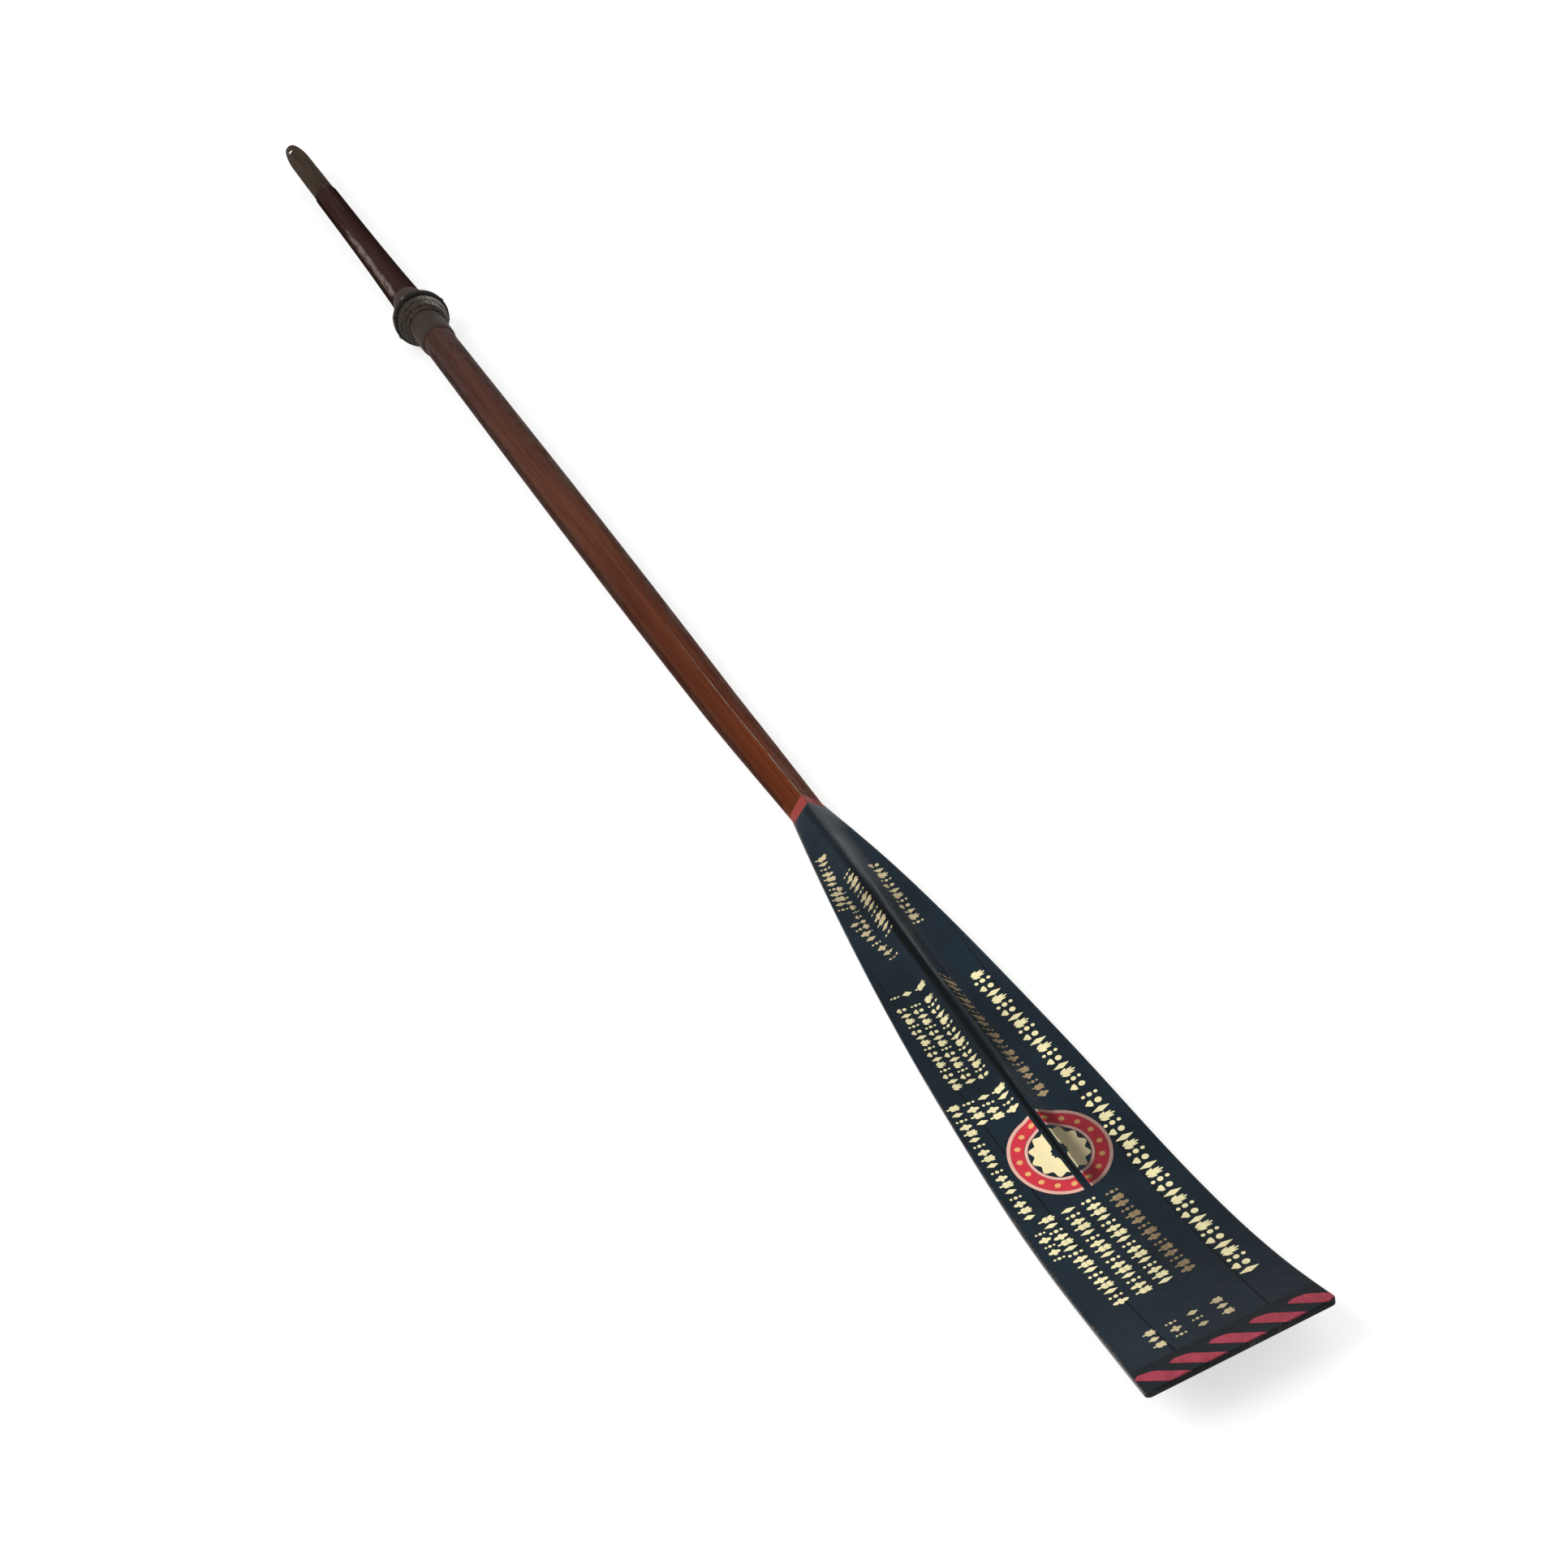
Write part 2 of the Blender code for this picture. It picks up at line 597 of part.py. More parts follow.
def main():
    """Builds the oar."""
    for old in list(bpy.data.objects):
        bpy.data.objects.remove(old)
    axis = bpy.data.objects.new("loom_axis", None)
    bpy.context.scene.collection.objects.link(axis)
    spruce = material("varnished_spruce", (0.135, 0.040, 0.022), 0.28, coat=0.4)
    hardwood = material("hardwood_strip", (0.090, 0.030, 0.018), 0.30, coat=0.4)
    paint = material("blade_paint", (0.028, 0.042, 0.060), 0.30, coat=0.5)
    tip_paint = material("tip_paint", (0.020, 0.024, 0.030), 0.34, coat=0.4)
    bare_wood = material("bare_grip_wood", (0.085, 0.060, 0.038), 0.62)
    sleeve_leather = material("sleeve_leather", (0.075, 0.058, 0.044), 0.55)
    button_leather = material("button_leather", (0.105, 0.088, 0.066), 0.50)
    copper = material("copper_nail", (0.30, 0.13, 0.07), 0.38, metallic=1.0)
    pale_metal = material("pale_tack", (0.70, 0.68, 0.64), 0.30, metallic=1.0)
    make_loom(spruce, hardwood, axis)
    make_cheeks(paint, axis)
    make_tip_strip(tip_paint, axis)
    make_grip(bare_wood, pale_metal, axis)
    make_sleeve(sleeve_leather, copper, axis)
    make_button(button_leather, copper, axis)
    lay_down(axis)


main()
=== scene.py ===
import logging
import random
from dataclasses import dataclass, field
from enum import Enum
from math import asin, atan2, cos, exp, hypot, pi, radians, sin, sqrt
from typing import Callable, Iterable, Sequence

import bmesh
import bpy
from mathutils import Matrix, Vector, noise


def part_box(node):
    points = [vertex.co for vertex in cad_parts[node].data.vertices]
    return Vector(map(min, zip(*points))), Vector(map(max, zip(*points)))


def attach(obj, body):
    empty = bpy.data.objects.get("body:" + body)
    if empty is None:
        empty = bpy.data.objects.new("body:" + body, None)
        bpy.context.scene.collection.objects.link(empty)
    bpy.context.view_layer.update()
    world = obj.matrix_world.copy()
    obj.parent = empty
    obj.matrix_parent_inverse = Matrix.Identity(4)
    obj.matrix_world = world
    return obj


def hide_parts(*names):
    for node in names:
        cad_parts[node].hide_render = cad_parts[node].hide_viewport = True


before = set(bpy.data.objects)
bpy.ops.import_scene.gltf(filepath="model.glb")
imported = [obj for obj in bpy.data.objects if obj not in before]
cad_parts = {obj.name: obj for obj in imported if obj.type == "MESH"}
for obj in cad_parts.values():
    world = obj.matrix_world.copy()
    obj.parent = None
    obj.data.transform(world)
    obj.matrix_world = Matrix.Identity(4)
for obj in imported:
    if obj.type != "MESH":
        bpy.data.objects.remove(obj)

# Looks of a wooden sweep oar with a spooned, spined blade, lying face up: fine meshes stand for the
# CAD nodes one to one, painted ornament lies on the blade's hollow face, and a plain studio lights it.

logging.basicConfig(level=logging.INFO, format="%(name)s: %(message)s")
LOG = logging.getLogger("oar")

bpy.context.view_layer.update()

Flat = tuple[float, float]
Triple = tuple[float, float, float]
Colour = Triple
Material = bpy.types.Material
Socket = bpy.types.NodeSocket
Piece = bpy.types.Object


class Side(Enum):
    """A side of the blade, seen from the handle end, as the CAD nodes are named."""

    LEFT = -1.0
    RIGHT = 1.0


class Board(Enum):
    """A board of one side of the blade."""

    INNER = "inner"
    OUTER = "outer"


class Half(Enum):
    """A glued half of the loom."""

    FACE = "face"
    BACK = "back"


class Motif(Enum):
    """A small ornament painted in rows on the blade."""

    SPRIG = "sprig"
    LOZENGE = "lozenge"
    BEADS = "beads"
    QUATREFOIL = "quatrefoil"
    BUD = "bud"
    FAN = "fan"


def smoothstep(value: float) -> float:
    """The height of a smooth rise from 0 to 1, 0 below its foot at 0 and 1 above its top at 1."""
    value = min(1.0, max(0.0, value))
    return value * value * (3.0 - 2.0 * value)


def steps(first: float, last: float, count: int) -> list[float]:
    """Divide a stretch into equal steps and give its values, the first and the last included."""
    return [first + (last - first) * i / count for i in range(count + 1)]


def near(distance: float, reach: float) -> float:
    """Fall evenly from 1 at no distance to 0 at the reach and beyond."""
    return max(0.0, 1.0 - distance / reach)


def bell(value: float, middle: float, spread: float) -> float:
    """Rise to 1 at the middle and fall off softly on both sides."""
    return exp(-(((value - middle) / spread) ** 2))


def stand(name: str, data: bpy.types.ID) -> Piece:
    """Put a mesh, a lamp or a camera into the scene under its name."""
    made = bpy.data.objects.new(name, data)
    bpy.context.scene.collection.objects.link(made)
    return made


@dataclass(frozen=True)
class Fade:
    """A smooth rise from 0 to 1 along one measure, towards its lower values where run is negative."""

    start: float
    run: float

    def at(self, value: float) -> float:
        """How far the rise has come at a value of its measure."""
        return smoothstep((value - self.start) / self.run)


@dataclass(frozen=True)
class OarShape:
    """The oar's sizes in metres, the same as the CAD's, and the surfaces that follow from them.

    Distances s run along the oar from the blade's tip, y runs across it, and heights are taken
    from the loom's centre line.
    """

    origin: Triple = (0.0, 0.0, 0.0)
    slope: float = 0.01347688

    blade_length: float = 0.850
    outboard: float = 2.562
    inboard: float = 1.136
    grip_length: float = 0.355
    tip_strip: float = 0.030

    neck: float = 0.0358 / 2
    seat: float = 0.0520 / 2
    shoulder: float = 0.0442 / 2
    end_round: float = 0.005
    end_drop: float = 0.5
    arris_height: float = 0.0022
    arris_run: float = 0.60
    arris_reach: float = 0.6
    neck_bow: float = 0.0130
    bow_top: float = 0.790
    bow_run: float = 0.360
    swell_power: float = 3.3
    inboard_power: int = 3
    hollow: float = 0.0130
    hollow_from_neck: float = 0.310

    tip_width: float = 0.1560
    body_width: float = 0.1470
    flare_run: float = 0.150
    width_power: float = 2.3
    tip_corner: float = 0.005
    tip_thickness: float = 0.0070
    edge_thick: float = 0.0062
    root_thickness: float = 0.0190
    flat_level: float = -0.003
    spoon_rise: float = 0.051
    spoon_run: float = 0.275
    shoulder_start: float = 0.35
    shoulder_lift: float = 0.004
    dish: float = 0.004
    dish_power: float = 0.8
    dish_profile: float = 2.2
    back_profile: float = 2.6
    thickness_power: float = 0.8
    ridge_height: float = 0.0175
    ridge_start: float = 0.215
    ridge_full: float = 0.520
    ridge_root: float = 0.042
    ridge_point: float = 0.014
    spine_point: float = 0.016
    inner_cheek: float = 0.030
    root_blend: float = 0.090
    side_angle: float = 80.0

    gap: float = 0.0003
    hairline: float = 0.00006
    edge_round: float = 0.0024
    tip_round: float = 0.0011
    blunt: float = 0.55
    edge_power: float = 2.4
    round_run: float = 0.04
    crest_round: float = 0.0018
    crest_power: float = 1.4
    facet: float = 0.65
    facet_starts: Fade = Fade(0.76, 0.06)
    facet_ends: Fade = Fade(0.87, 0.16)

    sleeve_outboard: float = 0.128
    sleeve_inboard: float = 0.085
    sleeve_thickness: float = 0.0026

    band: Flat = (0.837, 0.8535)

    blade_sections: int = 150
    band_stations: tuple[float, ...] = (0.837, 0.8455, 0.8535, 0.860, 0.870, 0.880)
    loom_sections_start: float = 0.040
    loom_sections: int = 54
    seat_sections: int = 6
    inboard_sections: int = 24
    end_sections: int = 6

    @property
    def loom_end(self) -> float:
        """Where the loom ends and the grip begins."""
        return self.outboard + self.inboard - self.grip_length

    @property
    def oar_end(self) -> float:
        """Where the grip ends."""
        return self.outboard + self.inboard

    @property
    def sleeve_start(self) -> float:
        """Where the sleeve begins, on the blade's side."""
        return self.outboard - self.sleeve_outboard

    @property
    def sleeve_end(self) -> float:
        """Where the sleeve ends, on the grip's side."""
        return self.outboard + self.sleeve_inboard

    @property
    def sleeve_outer(self) -> float:
        """The sleeve's outer radius."""
        return self.seat + self.gap + self.sleeve_thickness

    def loom_radius(self, s: float) -> float:
        """The loom's radius.

        Args:
            s: Metres from the tip.

        Returns:
            The radius there.
        """
        if s <= self.sleeve_start:
            run = max(0.0, (s - self.blade_length) / (self.sleeve_start - self.blade_length))
            return self.seat - (self.seat - self.neck) * (1.0 - run) ** self.swell_power
        if s <= self.sleeve_end:
            return self.seat
        run = min(1.0, (s - self.sleeve_end) / (self.loom_end - self.sleeve_end))
        radius = self.shoulder + (self.seat - self.shoulder) * (1.0 - run) ** self.inboard_power
        into = max(0.0, (s - (self.loom_end - self.end_round)) / self.end_round)
        return radius - self.end_round * self.end_drop * (1.0 - sqrt(max(0.0, 1.0 - into * into)))

    def bow(self, s: float) -> float:
        """How far the centre line bows up near the neck, at a distance from the tip."""
        return self.neck_bow * (1.0 - smoothstep(abs(s - self.bow_top) / self.bow_run))

    def root_share(self, s: float) -> float:
        """How far the blade's section has become the loom's: 0 on the blade, 1 from the neck on."""
        return smoothstep((s - (self.blade_length - self.root_blend)) / self.root_blend)

    def plain_width(self, s: float) -> float:
        """Half the blade's or the loom's width, without the rounding of the tip's corners.

        Args:
            s: Metres from the tip.

        Returns:
            Half the width there.
        """
        side = sin(radians(self.side_angle))
        if s >= self.blade_length:
            return self.loom_radius(s)
        neck = self.loom_radius(self.blade_length) * side
        flare = (self.tip_width - self.body_width) / 2 * max(0.0, 1.0 - s / self.flare_run) ** 2
        share = 1.0 - (s / self.blade_length) ** self.width_power
        width = neck + (self.body_width / 2 - neck) * share + flare
        return width * (1.0 + (1.0 / side - 1.0) * self.root_share(s))

    def outline(self, s: float) -> float:
        """Half the width at a distance from the tip, with the tip's rounded corners."""
        inside = max(0.0, self.tip_corner - s)
        return self.plain_width(s) - (self.tip_corner - sqrt(self.tip_corner**2 - inside**2))

    def from_edge(self, s: float, y: float) -> float:
        """The distance from the blade's outline, tip and corners included.

        Args:
            s: Metres from the tip.
            y: Metres off the middle.

        Returns:
            The distance, never below 0.
        """
        to_end = self.tip_corner - s
        to_side = abs(y) - (self.plain_width(s) - self.tip_corner)
        outside = hypot(max(to_end, 0.0), max(to_side, 0.0)) + min(max(to_end, to_side), 0.0)
        return max(0.0, self.tip_corner - outside)

    def spine_width(self, s: float) -> float:
        """Half the spine's width, which is the loom's beyond the blade.

        Args:
            s: Metres from the tip.

        Returns:
            Half the width there.
        """
        if s >= self.blade_length:
            return self.loom_radius(s)
        point = self.spine_point / 2
        return point + (self.loom_radius(self.blade_length) - point) * s / self.blade_length

    def seam(self, s: float) -> float:
        """The offset from the middle plane at which the inner cheek meets the outer one."""
        return self.spine_width(s) + self.inner_cheek

    def edge_thickness(self, s: float) -> float:
        """The blade's thickness at its edge before rounding, at a distance from the tip."""
        rise = smoothstep(s / self.spoon_run)
        return self.tip_thickness + (self.edge_thick - self.tip_thickness) * rise

    def edge_level(self, s: float) -> float:
        """The height of the middle of the blade's edge.

        Args:
            s: Metres from the tip.

        Returns:
            The height there.
        """
        curl = self.spoon_rise * max(0.0, 1.0 - s / self.spoon_run) ** 2
        run = (s / self.blade_length - self.shoulder_start) / (1.0 - self.shoulder_start)
        lift = self.shoulder_lift * sin(pi * run) if 0.0 < run < 1.0 else 0.0
        return self.flat_level + curl + lift

    def ridge_foot(self, s: float) -> float:
        """Half the width of the ridge on the hollow face, at a distance from the tip."""
        run = min(1.0, s / self.blade_length)
        return (self.ridge_point + (self.ridge_root - self.ridge_point) * run) / 2

    def crest(self, y: float, reach: float) -> float:
        """A ridge's height at the offset y as a share of its crest's, its foot lying at the reach."""
        soft = hypot(y, self.crest_round) - self.crest_round
        return max(0.0, 1.0 - soft / reach) ** self.crest_power

    def ridge(self, s: float, y: float) -> float:
        """The height of the ridge over the hollow face, at s and y."""
        run = (s - self.ridge_start) / (self.ridge_full - self.ridge_start)
        return self.ridge_height * smoothstep(run) * self.crest(y, self.ridge_foot(s))

    def loom_levels(self, s: float, y: float) -> tuple[float, float]:
        """The heights of the loom's faceted face and round back, which the blade runs into.

        Args:
            s: Metres from the tip.
            y: Metres off the middle.

        Returns:
            The face's height and the back's.
        """
        across = min(1.0, abs(y) / self.plain_width(s))
        radius = self.loom_radius(max(s, self.blade_length))
        round_half = radius * sqrt(max(0.0, 1.0 - across * across))
        facet = self.facet * self.facet_starts.at(s) * (1.0 - self.facet_ends.at(s))
        upper = (1.0 - facet) * round_half + facet * radius * (1.0 - across)
        fade = max(0.0, 1.0 - max(0.0, s - self.blade_length) / self.arris_run)
        arris = self.arris_height * self.root_share(s) * fade * self.crest(y, radius * self.arris_reach)
        return upper + arris, -round_half

    def board_levels(self, s: float, y: float) -> tuple[float, float]:
        """The heights of the blade's hollow face and bellied back, with its rounded edges.

        Args:
            s: Metres from the tip.
            y: Metres off the middle.

        Returns:
            The face's height and the back's.
        """
        across = min(1.0, abs(y) / self.plain_width(s))
        run = min(1.0, s / self.blade_length)
        dish = self.dish * sin(pi * run) ** self.dish_power
        level, thickness = self.edge_level(s), self.edge_thickness(s)
        face = level + thickness / 2 - dish * (1.0 - across**self.dish_profile) + self.ridge(s, y)
        full = self.tip_thickness + (self.root_thickness - self.tip_thickness) * run**self.thickness_power
        middle = level + thickness / 2 - dish - full
        edge = level - thickness / 2
        back = edge - (edge - middle) * (1.0 - across**self.back_profile)
        softened = smoothstep((s - self.tip_strip) / self.round_run)
        reach = self.tip_round + (self.edge_round - self.tip_round) * softened
        inside = min(1.0, self.from_edge(s, y) / reach)
        rounding = (1.0 - (1.0 - inside) ** self.edge_power) ** (1.0 / self.edge_power)
        rounding = self.blunt + (1.0 - self.blunt) * rounding
        centre, half = (face + back) / 2, (face - back) / 2 * rounding
        return centre + half, centre - half

    def levels(self, s: float, y: float) -> tuple[float, float]:
        """The heights of the face and of the back.

        Args:
            s: Metres from the tip.
            y: Metres off the middle.

        Returns:
            The face's height and the back's.
        """
        share = self.root_share(s)
        loom = self.loom_levels(s, y)
        if share >= 1.0:
            return loom
        board = self.board_levels(s, y)
        return (1.0 - share) * board[0] + share * loom[0], (1.0 - share) * board[1] + share * loom[1]

    def split_level(self, s: float) -> float:
        """The height of the glue plane between the loom's halves.

        Args:
            s: Metres from the tip.

        Returns:
            The height there.
        """
        share = self.root_share(s)
        if share >= 1.0:
            return 0.0
        face = self.levels(s, self.spine_width(s))[0]
        back = self.levels(s, 0.0)[1]
        return (1.0 - share) * (face + back) / 2

    def point(self, s: float, y: float, z: float) -> Vector:
        """Place a point of the oar where the CAD has it.

        Args:
            s: Metres from the tip.
            y: Metres off the middle.
            z: The height over the loom's centre line.

        Returns:
            The point in the model's frame.
        """
        x, z = s - self.outboard, z + self.bow(s)
        cosine = 1.0 / hypot(1.0, self.slope)
        sine = self.slope * cosine
        along, up = x * cosine - z * sine, x * sine + z * cosine
        return Vector((along + self.origin[0], y, up + self.origin[2]))

    def direction(self, y: float, z: float, along: float = 0.0) -> Vector:
        """Turn a direction of the oar into the model's frame.

        Args:
            y: Its part across the oar.
            z: Its part over the centre line.
            along: Its part along the oar, away from the tip.

        Returns:
            The direction, one unit long.
        """
        cosine = 1.0 / hypot(1.0, self.slope)
        sine = self.slope * cosine
        return Vector((along * cosine - z * sine, y, along * sine + z * cosine)).normalized()

    def stations(self) -> list[float]:
        """The distances from the tip at which the long pieces have a section."""
        blade = steps(self.tip_strip + self.hairline, self.blade_length, self.blade_sections)
        loom = steps(self.blade_length + self.loom_sections_start, self.sleeve_start, self.loom_sections)
        seat = steps(self.sleeve_start, self.sleeve_end, self.seat_sections)
        inboard = steps(self.sleeve_end, self.loom_end - self.end_round, self.inboard_sections)
        turns = steps(0.0, pi / 2, self.end_sections)
        rounded = [self.loom_end - self.end_round * (1.0 - sin(turn)) for turn in turns]
        every = (*blade, *self.band_stations, *loom, *seat, *inboard, *rounded)
        return sorted({round(s, 6) for s in every})


class MeshDraft:
    """Vertices by key, faces and their finishes, gathered until the mesh is made."""

    def __init__(self) -> None:
        """Start an empty draft."""
        self.index: dict[object, int] = {}
        self.points: list[Vector] = []
        self.wear: list[float] = []
        self.faces: list[tuple[int, ...]] = []
        self.finishes: list[int] = []

    def vertex(self, key: object, point: Vector, wear: float = 0.0) -> object:
        """Add a vertex once.

        Args:
            key: The name under which faces refer to it.
            point: Its place.
            wear: How worn or lightened by painted highlight the surface is there, from 0 to 1, or how
                darkened, by grime and painted shade, from 0 down to -1.

        Returns:
            The key.
        """
        if key not in self.index:
            self.index[key] = len(self.points)
            self.points.append(point)
            self.wear.append(wear)
        return key

    def face(self, keys: Iterable[object], finish: int = 0) -> None:
        """Add a face, leaving out corners that coincide.

        Args:
            keys: The keys of its corners in order.
            finish: Which of the piece's finishes it has.
        """
        corners: list[int] = []
        for key in keys:
            corner = self.index[key]
            if corner not in corners:
                corners.append(corner)
        if len(corners) > 2:
            self.faces.append(tuple(corners))
            self.finishes.append(finish)

    def wall(self, i: int, first: tuple, second: tuple, finish: int = 0) -> None:
        """Add the face between sections i and i + 1 that runs from their first to their second points."""
        self.face(((i, *first), (i, *second), (i + 1, *second), (i + 1, *first)), finish)

    def loft(self, rings: Sequence[Sequence[object]], finishes: Sequence[int] | None = None,
             caps: bool = True) -> None:
        """Join closed rings of equal count into one skin.

        Args:
            rings: The rings' keys, in order along the piece.
            finishes: The finish of each stretch between two rings, or None for the first finish.
            caps: Whether the first and the last ring are closed with a face.
        """
        for i in range(len(rings) - 1):
            count = len(rings[i])
            chosen = finishes[i] if finishes else 0
            for j in range(count):
                k = (j + 1) % count
                self.face((rings[i][j], rings[i][k], rings[i + 1][k], rings[i + 1][j]), chosen)
        if caps:
            self.face(rings[0], finishes[0] if finishes else 0)
            self.face(rings[-1], finishes[-1] if finishes else 0)

    def build(self, name: str, finishes: Sequence[Material], sharp: float = 35.0,
              stands_for: str = "", slot: str = "") -> Piece:
        """Turn the draft into a piece of the oar.

        Args:
            name: The piece's name.
            finishes: Its materials.
            sharp: The angle in degrees above which an edge stays crisp.
            stands_for: The CAD node that the piece replaces, if it replaces one.
            slot: The name of its slot, which is not used.

        Returns:
            The piece, riding on the oar.
        """
        mesh = bpy.data.meshes.new(name)
        mesh.from_pydata([tuple(point) for point in self.points], [], self.faces)
        mesh.polygons.foreach_set("material_index", self.finishes)
        worn = mesh.attributes.new("wear", "FLOAT", "POINT")
        worn.data.foreach_set("value", self.wear)
        data = bmesh.new()
        data.from_mesh(mesh)
        bmesh.ops.recalc_face_normals(data, faces=data.faces)
        data.to_mesh(mesh)
        data.free()
        for finish in finishes:
            mesh.materials.append(finish)
        mesh.shade_smooth()
        mesh.set_sharp_from_angle(angle=radians(sharp))
        piece = stand(name, mesh)
        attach(piece, "root")
        if stands_for:
            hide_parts(stands_for)
        LOG.info("%s: %d faces", name, len(self.faces))
        return piece


class Wiring:
    """A material's node tree with short ways to add and join nodes."""

    def __init__(self, name: str) -> None:
        """Start a material with a Principled shader.

        Args:
            name: The material's name.
        """
        self.material = bpy.data.materials.new(name)
        self.material.use_nodes = True
        self.tree = self.material.node_tree
        self.shader = self.tree.nodes["Principled BSDF"]
        self.place = self.node("ShaderNodeTexCoord").outputs["Object"]

    def node(self, kind: str, **settings: object) -> bpy.types.Node:
        """Add a node.

        Args:
            kind: The node's type.
            settings: Its properties by name.

        Returns:
            The node.
        """
        made = self.tree.nodes.new(kind)
        for key, value in settings.items():
            setattr(made, key, value)
        return made

    def feed(self, socket: Socket, value: object) -> None:
        """Give a socket a constant or join another socket to it.

        Args:
            socket: The socket that takes the value.
            value: A number, a colour, or the output of another node.
        """
        if isinstance(value, Socket):
            self.tree.links.new(value, socket)
        elif isinstance(value, tuple) and len(value) == 3 and socket.type == "RGBA":
            socket.default_value = (*value, 1.0)
        else:
            socket.default_value = value

    def stretched(self, along: float, across: float) -> Socket:
        """The place on the oar with its axes scaled.

        Args:
            along: The scale along the oar.
            across: The scale across it and upward.

        Returns:
            The scaled coordinates.
        """
        made = self.node("ShaderNodeVectorMath", operation="MULTIPLY")
        self.feed(made.inputs[0], self.place)
        made.inputs[1].default_value = (along, across, across)
        return made.outputs[0]

    def along(self) -> Socket:
        """The place along the oar in metres, rising towards the handle."""
        made = self.node("ShaderNodeSeparateXYZ")
        self.feed(made.inputs[0], self.place)
        return made.outputs["X"]

    def cloud(self, place: object, scale: float, detail: float = 4.0, roughness: float = 0.55,
              distortion: float = 0.0) -> Socket:
        """Soft noise.

        Args:
            place: The coordinates.
            scale: How many clouds to a unit.
            detail: How many finer layers it has.
            roughness: How strong the finer layers are.
            distortion: How much it is warped.

        Returns:
            The noise, about 0 to 1.
        """
        made = self.node("ShaderNodeTexNoise")
        self.feed(made.inputs["Vector"], place)
        for key, value in (("Scale", scale), ("Detail", detail), ("Roughness", roughness),
                           ("Distortion", distortion)):
            made.inputs[key].default_value = value
        return made.outputs["Fac"]

    def cells(self, place: object, scale: float, feature: str = "F1") -> Socket:
        """Cell noise, for leather grain and pores.

        Args:
            place: The coordinates.
            scale: How many cells to a unit.
            feature: Which distance it gives.

        Returns:
            The distance.
        """
        made = self.node("ShaderNodeTexVoronoi", feature=feature)
        self.feed(made.inputs["Vector"], place)
        made.inputs["Scale"].default_value = scale
        return made.outputs["Distance"]

    def span(self, value: object, low: float, high: float, first: float = 0.0,
             last: float = 1.0) -> Socket:
        """Map a range of values smoothly onto another.

        Args:
            value: The value.
            low: Where the range begins.
            high: Where it ends.
            first: What low becomes.
            last: What high becomes.

        Returns:
            The mapped value.
        """
        made = self.node("ShaderNodeMapRange", interpolation_type="SMOOTHSTEP")
        self.feed(made.inputs["Value"], value)
        for key, given in (("From Min", low), ("From Max", high), ("To Min", first), ("To Max", last)):
            made.inputs[key].default_value = given
        return made.outputs["Result"]

    def sums(self, operation: str, first: object, second: object) -> Socket:
        """Join two numbers.

        Args:
            operation: The name of the sum.
            first: The first number.
            second: The second number.

        Returns:
            The result.
        """
        made = self.node("ShaderNodeMath", operation=operation)
        self.feed(made.inputs[0], first)
        self.feed(made.inputs[1], second)
        return made.outputs[0]

    def blend(self, share: object, first: object, second: object,
              how: str = "MIX") -> Socket:
        """Mix two colours.

        Args:
            share: How much of the second colour.
            first: The first colour.
            second: The second colour.
            how: The way of mixing.

        Returns:
            The mixed colour.
        """
        made = self.node("ShaderNodeMix", data_type="RGBA", blend_type=how)
        self.feed(made.inputs[0], share)
        self.feed(made.inputs[6], first)
        self.feed(made.inputs[7], second)
        return made.outputs[2]

    def ramp(self, value: object, stops: Sequence[tuple[float, Colour]]) -> Socket:
        """Turn a number into a colour.

        Args:
            value: The number.
            stops: Positions from 0 to 1 with their colours.

        Returns:
            The colour.
        """
        made = self.node("ShaderNodeValToRGB")
        self.feed(made.inputs[0], value)
        bar = made.color_ramp
        while len(bar.elements) < len(stops):
            bar.elements.new(0.5)
        for element, (position, colour) in zip(bar.elements, stops):
            element.position = position
            element.color = (*colour, 1.0)
        return made.outputs["Color"]

    def worn(self) -> Socket:
        """How worn the surface is, from the mesh, with the painted highlights and shade that it also holds.
        """
        return self.node("ShaderNodeAttribute", attribute_name="wear").outputs["Fac"]

    def bump(self, height: object, depth: float, under: object = None) -> Socket:
        """Raise the surface's fine relief.

        Args:
            height: The relief, 0 to 1.
            depth: Its depth in metres.
            under: A coarser relief under it, if there is one.

        Returns:
            The normal.
        """
        made = self.node("ShaderNodeBump")
        made.inputs["Strength"].default_value = 1.0
        made.inputs["Distance"].default_value = depth
        self.feed(made.inputs["Height"], height)
        if under is not None:
            self.feed(made.inputs["Normal"], under)
        return made.outputs["Normal"]

    def finish(self, colour: object, roughness: object, normal: object = None,
               **sockets: object) -> Material:
        """Set the shader.

        Args:
            colour: The base colour.
            roughness: The roughness.
            normal: The relief, if there is one.
            sockets: Other sockets by name, with underscores for spaces.

        Returns:
            The finished material.
        """
        self.feed(self.shader.inputs["Base Color"], colour)
        self.feed(self.shader.inputs["Roughness"], roughness)
        if normal is not None:
            self.feed(self.shader.inputs["Normal"], normal)
        for key, value in sockets.items():
            self.feed(self.shader.inputs[key.replace("_", " ")], value)
        return self.material


